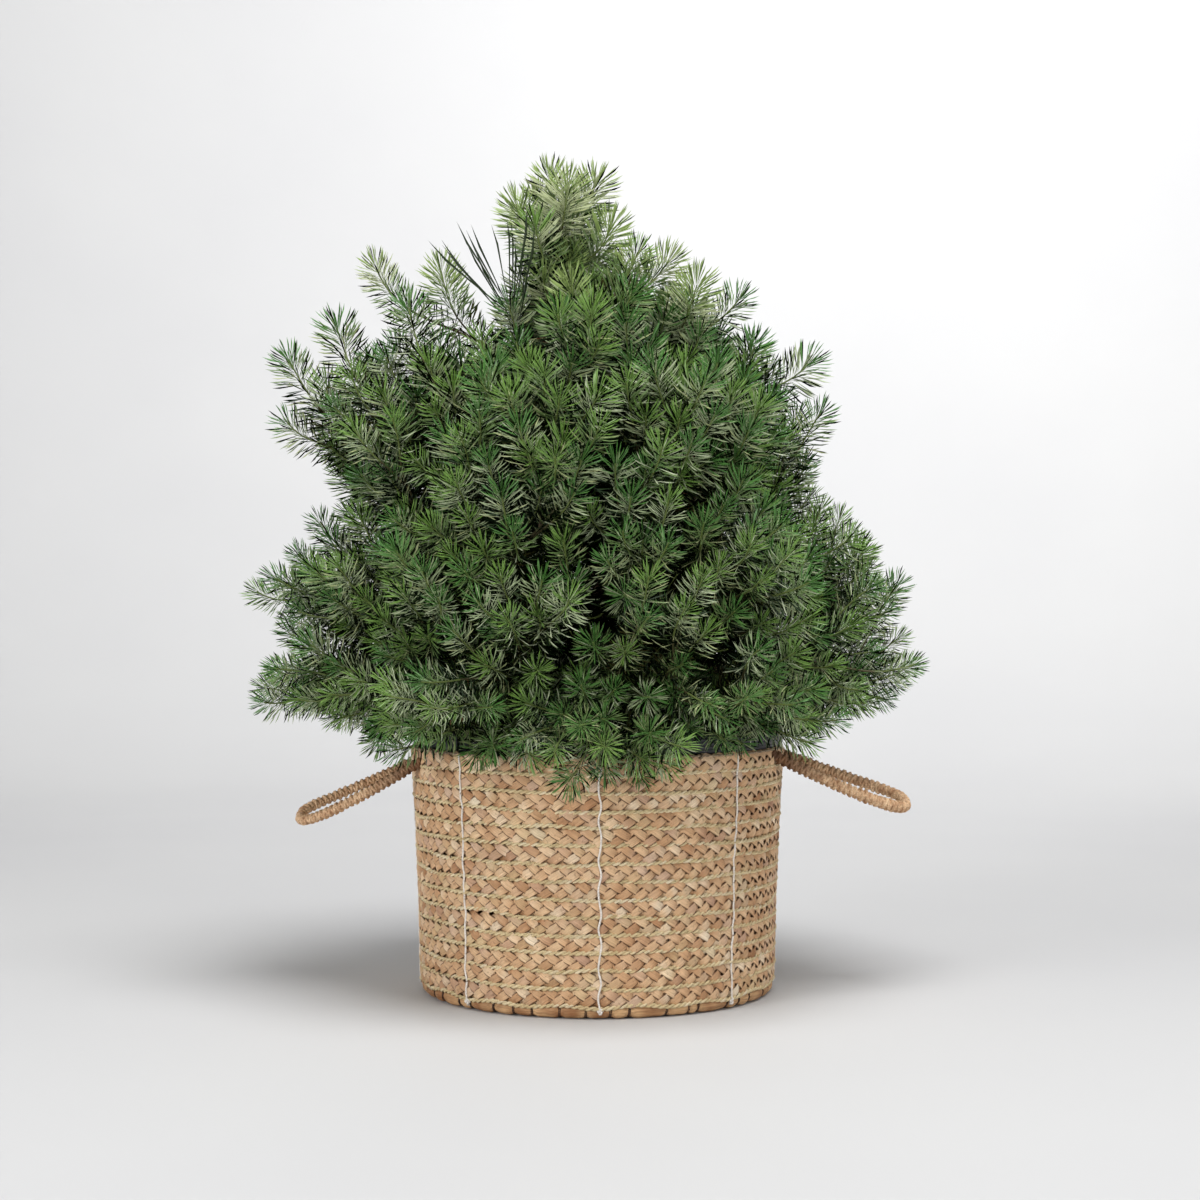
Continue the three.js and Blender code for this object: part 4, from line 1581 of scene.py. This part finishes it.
chance = np.random.default_rng(SEED_OF_CROWN)
furthest, outer = [], []
for points, triangles in masses.values():
    for place, facing in zip(*bumps(points, triangles)):
        if open_sky(place, facing):
            furthest.append((place - facing * TIP_INSET, facing))
    for place, facing in zip(*strew_over(points, triangles, STREWN_PER_MASS, chance)):
        kept_here = facing[2] > UNDERSIDE or chance.random() < UNDERSIDE_KEPT
        if kept_here and open_sky(place, facing):
            outer.append((place - facing * chance.uniform(*BUD_INSET), facing))
outer = [outer[index] for index in chance.permutation(len(outer))]
proud = []
for across, deep, high, lean in PROUD_SHOOTS:
    upward = np.array([math.sin(math.radians(lean)), 0.0, math.cos(math.radians(lean))])
    proud.append((np.array([across, deep, high]), upward))
buds = settle(furthest + outer, SPACING["outer"], proud)
outer_count = len(buds)
buds = settle(strew_inside(2, 2, chance), SPACING["crease"], buds)
seen_count = len(buds)
buds = settle(strew_inside(3, DEEPEST, chance), SPACING["shade"], buds)
print("buds:", outer_count, "outside,", seen_count - outer_count, "in creases,",
      len(buds) - seen_count, "in shade")

# %% [markdown]
# ## Which way the shoots point
#
# Shoots reach for light. Near the top they stand almost upright, half way down they climb
# steeply, and the lowest run level or droop over the pot. Each takes its bearing from the trunk,
# leans a little towards the side of the mass it is on, and strays.

# %% Aim the shoots
LIFT_AT = [(0.17, -14.0), (0.24, 14.0), (0.30, 44.0), (0.37, 67.0), (0.47, 79.0), (0.58, 87.0)]
STRAY = {"lift": 9.0, "bearing": 17.0}
FOLLOW = 0.2


def aim(place, facing, chance):
    """The direction of a shoot that ends at this place."""
    heights, lifts = zip(*LIFT_AT)
    lift = math.radians(np.interp(place[2], heights, lifts) + chance.normal(0, STRAY["lift"]))
    outward = place - trunk_at(np.array([place[2]]))[0]
    bearing = math.atan2(outward[1], outward[0]) + math.radians(chance.normal(0, STRAY["bearing"]))
    level = math.cos(lift)
    free = np.array([level * math.cos(bearing), level * math.sin(bearing), math.sin(lift)])
    return unit((1 - FOLLOW) * free + FOLLOW * facing)


shoots = []
for rank, (place, facing) in enumerate(buds):
    heading = facing if rank < len(PROUD_SHOOTS) else aim(place, facing, chance)
    shoots.append({"place": place, "aim": heading, "seen": rank < seen_count})

# %% [markdown]
# ## The branching rule
#
# Now the shoots are joined to the limbs. One shoot carries on from the end of each bough and of the
# trunk. The others are taken from the limbs outward, and each springs from whatever older wood
# costs least to reach: near, but not too near for a shoot of full length, at a natural forking
# angle, behind the shoot rather than beside it, not from another's soft tip, and not where many
# have sprung already. A twig sets off between its parent's line and the way to its bud, and bends
# over to end close to the bud's own aim. All spring from older wood, so the crown hangs together.

# %% Grow the twigs
TWIG = {"step": 8.0 * MM, "bow": 0.42, "soft": 55.0 * MM, "short": 62.0 * MM, "wander": 1.3 * MM}
FORK_COSINE = 0.62
STEER = 2.0
STRAIGHT = 0.3
LIMB_AGE = 0.3
SIDE_TWIG_RADIUS = 2.3 * MM
LEADING_TWIG_RADIUS = 1.3 * MM
FORK_COST = 2.2
SOFT_COST = 3
SHORT_COST = 2
CROWDED_WITHIN = 7.0 * MM
CROWDING_COST = 1.22
AHEAD_COSINE = 0.86
AHEAD_SPAN = 0.14
PARENT_PULL, BUD_PULL = 0.5, 0.8


def bend(start, start_heading, stop, stop_heading, chance):
    """A twig's line: a smooth curve that leaves and arrives in the given directions."""
    span = np.linalg.norm(stop - start)
    count = max(4, round(span * 1.08 / TWIG["step"]) + 1)
    share = np.linspace(0, 1, count)[:, None]
    near = start + start_heading * span * TWIG["bow"]
    far = stop - stop_heading * span * TWIG["bow"]
    rest = 1 - share
    line = rest ** 3 * start + 3 * rest ** 2 * share * near + 3 * rest * share ** 2 * far + share ** 3 * stop
    sway = np.sin(share * math.pi) * np.sin(share * chance.uniform(3, 8) + chance.uniform(0, math.tau))
    return line + sway * TWIG["wander"] * unit(chance.normal(size=3))


class Wood:
    """The points of limbs and twigs that a new twig may spring from."""

    def __init__(self):
        self.places = np.zeros((0, 3))
        self.headings = np.zeros((0, 3))
        self.ages = np.zeros(0)
        self.crowding = np.zeros(0)
        self.owners = []

    def add(self, line, ages, owner):
        self.places = np.vstack([self.places, line])
        self.headings = np.vstack([self.headings, unit(np.gradient(line, axis=0))])
        self.ages = np.concatenate([self.ages, ages])
        self.crowding = np.concatenate([self.crowding, np.ones(len(line))])
        self.owners += [(owner, index) for index in range(len(line))]

    def cheapest(self, bud, heading):
        """The point that a twig to this bud, pointing that way, springs from."""
        away = bud - self.places
        span = np.maximum(np.linalg.norm(away, axis=1), 1e-9)
        fork = (away * self.headings).sum(axis=1) / span
        behind = (away @ heading) / span
        softness = np.maximum(1 - self.ages / TWIG["soft"], 0)
        cost = span * (1 + FORK_COST * np.maximum(FORK_COSINE - fork, 0)) * self.crowding
        cost *= (1 + STEER * (1 - behind)) * (1 + SOFT_COST * softness)
        cost += SHORT_COST * np.maximum(TWIG["short"] - span, 0)
        best = int(np.argmin(cost))
        near = np.linalg.norm(self.places - self.places[best], axis=1) < CROWDED_WITHIN
        self.crowding[near] *= CROWDING_COST
        return best


def ages_of(line):
    """How far each point of a twig is from its bud, measured along the twig."""
    steps = np.linalg.norm(np.diff(line, axis=0), axis=1)
    return np.concatenate([np.cumsum(steps[::-1])[::-1], [0.0]])


wood = Wood()
twigs = []


def grow(shoot, root, heading, parent, thickest):
    """Adds the twig that ends in this shoot's bud."""
    facing = unit(STRAIGHT * unit(shoot["place"] - root) + (1 - STRAIGHT) * shoot["aim"])
    line = bend(root, heading, shoot["place"], facing, chance)
    twigs.append({"line": line, "ages": ages_of(line), "parent": parent, "seen": shoot["seen"],
                  "thickest": thickest})
    wood.add(line, twigs[-1]["ages"], len(twigs) - 1)


limbs = [(trunk_line[trunk_line[:, 2] > POT_SPACE["height"]], trunk_radii[-1])]
limbs += [(line[len(line) // 4:], radii[-1]) for line, radii in boughs.values()]
for line, end_radius in limbs:
    wood.add(line, np.full(len(line), LIMB_AGE), None)
waiting = list(range(len(shoots)))
for line, end_radius in limbs:
    ahead = unit(line[-1] - line[-3])
    away = np.array([shoots[index]["place"] for index in waiting]) - line[-1]
    span = np.linalg.norm(away, axis=1)
    along = (away @ ahead) / span
    in_front = (along > AHEAD_COSINE) & (span < AHEAD_SPAN)
    leading = waiting.pop(int(np.argmax(np.where(in_front, span, -1 / span))))
    grow(shoots[leading], line[-1], ahead, None, max(float(end_radius), LEADING_TWIG_RADIUS))
limb_places = wood.places[: sum(len(line) for line, end_radius in limbs)]
distance = [np.linalg.norm(limb_places - shoots[index]["place"], axis=1).min() for index in waiting]
for rank in np.argsort(distance):
    shoot = shoots[waiting[rank]]
    best = wood.cheapest(shoot["place"], shoot["aim"])
    toward = unit(shoot["place"] - wood.places[best])
    heading = unit(PARENT_PULL * wood.headings[best] + BUD_PULL * toward)
    grow(shoot, wood.places[best].copy(), heading, wood.owners[best], SIDE_TWIG_RADIUS)
lengths = np.array([twig["ages"][0] for twig in twigs])
print("twigs:", len(twigs), "of", round(float(lengths.mean()) * 1000), "mm on average")

# %% [markdown]
# A twig is as thick as what it carries. Counting how many buds each point feeds, and raising that
# to a power a little under one half, gives the taper of real wood without any measuring.

# %% Thicken the twigs
BUD_RADIUS = 0.52 * MM
TAPER_POWER = 0.4
AGE_SWELL = 0.006
for twig in twigs:
    twig["load"] = np.ones(len(twig["line"]))
for twig in reversed(twigs):
    if twig["parent"] and twig["parent"][0] is not None:
        owner, index = twig["parent"]
        twigs[owner]["load"][: index + 1] += twig["load"][0]
for twig in twigs:
    thick = BUD_RADIUS * twig["load"] ** TAPER_POWER + AGE_SWELL * np.minimum(twig["ages"], 0.1)
    twig["radius"] = np.minimum(thick, twig["thickest"])
print("thickest twig", round(max(twig["radius"].max() for twig in twigs) * 1000, 1), "mm in radius")

# %% [markdown]
# ## Sprays and their tints
#
# A shoot is dressed in lengths. Its tip is a tuft of bright needles in a greyer collar, the next
# few centimetres are in full green, mixed with pale needles that stand for the bloom of their
# undersides and are also a painted highlight, and further back they are sparse and khaki, with
# near-black ones as painted shade. Near-black needles among the bright ones are painted shade that
# keeps each needle apart from the next. Near the top, where the light is strongest, the needles
# are given paler and greyer tints as painted light. Shoots in the shade are painted near-black all
# along as painted shade.
# Each spray is dealt one tint for each of its lengths, so neighbours differ as they do in life.

# %% Cut each twig into lengths and deal out the tints
LENGTHS = {
    # core: near-black needles as painted shade, dealt along the first 66 mm of each seen shoot.
    "core": (0.0, 66.0 * MM),
    "tuft": (0.0, 8.0 * MM),
    "collar": (7.0 * MM, 20.0 * MM),
    "shoot": (18.0 * MM, 46.0 * MM),
    "bloom": (10.0 * MM, 44.0 * MM),
    "old": (46.0 * MM, 130.0 * MM),
}
SHADE_LENGTH = {"shade": (0.0, 62.0 * MM)}
STEM_LENGTHS = {"twig_fresh": (0.0, 0.03), "twig_green": (0.03, 0.07), "twig_brown": (0.07, 1.0)}
LEADER_HEIGHT = 0.52
VIGOUR_AT = [(0.22, 0.76), (0.40, 0.88), (0.50, 1.0), (0.58, 1.12)]
DEALS = {
    "tuft": (["tuft_lime", "tuft_green"], [0.5, 0.5]),
    "collar": (["collar_green", "collar_grey"], [0.6, 0.4]),
    "core": (["core_deep", "core_blue"], [0.6, 0.4]),
    "shoot": (["shoot_green", "shoot_blue"], [0.55, 0.45]),
    "bloom": (["bloom_olive", "bloom_grey"], [0.5, 0.5]),
    "old": (["old_khaki", "old_green", "dead_brown"], [0.32, 0.64, 0.04]),
    "shade": (["shade_green", "shade_olive"], [0.6, 0.4]),
}
# Painted light: shoots high up take paler tints, and a mid green in place of the near-black core.
PAINTED_TOP_LIGHT_DEALS = {
    "tuft": (["crest_green", "tuft_lime"], [0.7, 0.3]),
    "collar": (["crest_green", "crest_grey"], [0.4, 0.6]),
    "core": (["shoot_green", "core_blue"], [0.5, 0.5]),
    "shoot": (["crest_grey", "collar_green"], [0.5, 0.5]),
}


def cut_length(twig, low, high):
    """The part of a twig whose age lies between two bounds, or None."""
    ages, line = twig["ages"], twig["line"]
    top = min(high, ages[0])
    if top - low < 2.0 * MM:
        return None
    count = max(2, math.ceil((top - low) / TWIG["step"]) + 1)
    wanted = np.linspace(top, low, count)
    place = np.column_stack([np.interp(-wanted, -ages, line[:, axis]) for axis in range(3)])
    heading = unit(np.gradient(line, axis=0))
    facing = np.column_stack([np.interp(-wanted, -ages, heading[:, axis]) for axis in range(3)])
    return {
        "line": place,
        "age": wanted,
        "heading": facing,
        "vigour": np.full(count, twig["vigour"]),
        "girth": 2 * np.interp(-wanted, -ages, twig["radius"]),
    }


sprays = {tint: [] for tint in TINTS}
stems = {stem: [] for stem in STEM_LENGTHS}
for twig in twigs:
    high_up = twig["line"][-1][2] > LEADER_HEIGHT
    twig["vigour"] = float(np.clip(chance.normal(1.0, 0.08), 0.84, 1.16))
    twig["vigour"] *= float(np.interp(twig["line"][-1][2], *zip(*VIGOUR_AT)))
    for length, (low, high) in (LENGTHS if twig["seen"] else SHADE_LENGTH).items():
        names, odds = PAINTED_TOP_LIGHT_DEALS.get(length, DEALS[length]) if high_up else DEALS[length]
        tint = str(chance.choice(names, p=odds))
        part = cut_length(twig, low, high)
        if part:
            sprays[tint].append(part)
    for stem, (low, high) in STEM_LENGTHS.items():
        part = cut_length(twig, low, high)
        if part:
            stems[stem].append(part)

# %% [markdown]
# A young stone pine bears short single needles. Beside its leader one shoot already carries the
# grown tree's leaves, which are more than three times as long and dark. The shoot that ends
# nearest to a chosen place gets a spray of them, with few needles in it.

# %% Add the long needles beside the leader
ADULT = {"place": np.array([-0.066, -0.030, 0.512]), "length": 3.6, "sprays": 1}
ADULT_PART = (0.0, 22.0 * MM)
from_leader = [np.linalg.norm(twig["line"][-1] - ADULT["place"]) for twig in twigs]
for index in np.argsort(from_leader)[: ADULT["sprays"]]:
    part = cut_length(twigs[index], *ADULT_PART)
    part["vigour"] = part["vigour"] * ADULT["length"]
    sprays["adult_dark"].append(part)
print({tint: len(parts) for tint, parts in sprays.items()})

# %% [markdown]
# ## Needles
#
# A needle is a slim spindle, a little under two centimetres long and about a millimetre thick, bent
# slightly towards the shoot's tip. It has only five points and six faces, because over a hundred
# thousand are needed. The recipe walks along each shoot and sets a needle every third of a
# millimetre in a tuft, and every one to two millimetres in most other sprays. Each is turned by
# the golden angle from the last, as leaves really are. At the tip the needles hug the shoot, and
# they open out and lengthen with age.


# %% The needle recipe
NEEDLE_LENGTH = 23.0 * MM
NEEDLE_RADIUS = 0.6 * MM
DULL_RADIUS = 0.8 * MM
ADULT_RADIUS = 0.3 * MM
NEEDLE_BOW = 0.6 * MM
NEEDLE_BELLY = 0.76
GOLDEN_ANGLE = math.radians(137.508)


def needle_shape(name, radius):
    """One needle along Z, rooted at the origin. It bows away from +Y, the side of the tip."""
    belly = NEEDLE_BELLY * NEEDLE_LENGTH
    points = [(0.0, 0.0, 0.0)]
    for corner in range(3):
        turn = math.tau * corner / 3 + math.pi / 2
        points.append((radius * math.cos(turn), radius * math.sin(turn) - NEEDLE_BOW, belly))
    points.append((0.0, 0.0, NEEDLE_LENGTH))
    faces = []
    for corner in range(3):
        this, after = 1 + corner, 1 + (corner + 1) % 3
        faces.append((0, after, this))
        faces.append((this, after, 4))
    return solid(name, points, faces, needle_finish["shoot_green"], smooth=False)


def needle_recipe():
    recipe = Recipe("needles_along_shoots", Spacing=0.0006, Closed=0.2, Open=1.15, Opening=0.006,
                    Seed=1, Needle=None)
    curve = recipe.node("GeometryNodeMeshToCurve", None, {"Mesh": recipe.input("Geometry")})
    curve = recipe.node("GeometryNodeResampleCurve", {"mode": "LENGTH"},
                        {"Curve": curve, "Length": recipe.input("Spacing")})
    age = recipe.carried("age")
    seed = recipe.input("Seed")
    opened = age / (age + recipe.input("Opening"))
    slant = recipe.input("Closed") + (recipe.input("Open") - recipe.input("Closed")) * opened
    slant = slant + recipe.random(-0.16, 0.16, seed)
    index = recipe.node("GeometryNodeInputIndex")
    spin = index * GOLDEN_ANGLE + recipe.random(-0.5, 0.5, seed + 1)
    along = recipe.node("FunctionNodeAlignRotationToVector", {"axis": "Z"},
                        {"Vector": recipe.carried("heading", "FLOAT_VECTOR")})
    turn = recipe.node("ShaderNodeCombineXYZ", None, {"X": slant, "Z": spin})
    turned = recipe.node("FunctionNodeRotateRotation", {"rotation_space": "LOCAL"}, {
        "Rotation": along,
        "Rotate By": recipe.node("FunctionNodeEulerToRotation", None, {"Euler": turn}),
    })
    grown = 0.76 + 0.24 * (age / (age + 0.003))
    size = grown * recipe.carried("vigour") * recipe.random(0.9, 1.08, seed + 2)
    needle = recipe.node("GeometryNodeObjectInfo", None, {"Object": recipe.input("Needle")},
                         output="Geometry")
    dressed = recipe.node("GeometryNodeInstanceOnPoints", None, {
        "Points": curve,
        "Instance": needle,
        "Rotation": turned,
        "Scale": size,
    })
    recipe.serve(dressed)
    return recipe


needles = needle_recipe()

# %% [markdown]
# The tints are now grown one after another, each as one joined piece, and so are the three kinds
# of twig: fresh green behind the bud, olive further back, and brown wood.

# %% Grow the needles and the twigs
HABIT = {
    "core": {"Spacing": 1.5 * MM},
    "crest": {"Spacing": 0.3 * MM},
    "tuft": {"Spacing": 0.32 * MM, "Closed": 0.3},
    "collar": {"Spacing": 0.44 * MM},
    "shoot": {"Spacing": 1.3 * MM},
    "bloom": {"Spacing": 2.3 * MM},
    "old": {"Spacing": 1.2 * MM},
    "dead": {"Spacing": 1.3 * MM},
    "shade": {"Spacing": 1.8 * MM},
    "adult": {"Spacing": 1.3 * MM, "Open": 0.6},
}
needle_shapes = {
    "bright": needle_shape("needle", NEEDLE_RADIUS),
    "dull": needle_shape("dull_needle", DULL_RADIUS),
    "adult": needle_shape("long_needle", ADULT_RADIUS),
}


def needle_for(kind):
    """The needle for a kind of spray. Dull ones are thicker than bright ones. The adult shape is
    slim for its length, because its spray is scaled up by far the most."""
    if kind == "adult":
        return needle_shapes["adult"]
    return needle_shapes["dull" if kind in DULL_KINDS else "bright"]


needle_total = 0
for number, (tint, parts) in enumerate(sprays.items()):
    if not parts:
        continue
    source = lines(
        "needles_" + tint,
        [part["line"] for part in parts],
        age=[part["age"] for part in parts],
        heading=[part["heading"] for part in parts],
        vigour=[part["vigour"] for part in parts],
    )
    kind = tint.split("_")[0]
    habit = {"Closed": 0.2, "Open": 1.3, "Opening": 4.5 * MM, **HABIT[kind]}
    habit["Needle"] = needle_for(kind)
    cook(needles, source, needle_finish[tint], Seed=SEED + 10 * number, **habit)
    needle_total += len(source.data.vertices) // 5
    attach(source, "root")
    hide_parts(*FOLIAGE)
for shape in needle_shapes.values():
    bpy.data.objects.remove(shape)
print("needles:", needle_total)

for name, parts in stems.items():
    paths = [part["line"] for part in parts]
    source = lines(name, paths, girth=[part["girth"] for part in parts], lean=alike(paths, 0.0))
    finish = twig_finish.get(name, stem_finish)
    cook(strand, source, finish, Width=1.0, Thickness=1.0, Sides=4)
    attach(source, "root")
    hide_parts(*FOLIAGE)

# %% [markdown]
# ## Sizes, and the end
#
# The frame's box was measured before anything was made. The finished model's box is measured now,
# and both are printed. Only the topmost needles pass the frame, by about
# three millimetres, and the foot coil, by less than a tenth of one.

# %% Print the boxes and finish
visual_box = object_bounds()
boxes = {
    "cad": [list(map(float, corner)) for corner in cad_box],
    "visual": [list(map(float, corner)) for corner in visual_box],
}
for name, box in boxes.items():
    print(name, [[round(value, 4) for value in corner] for corner in box])
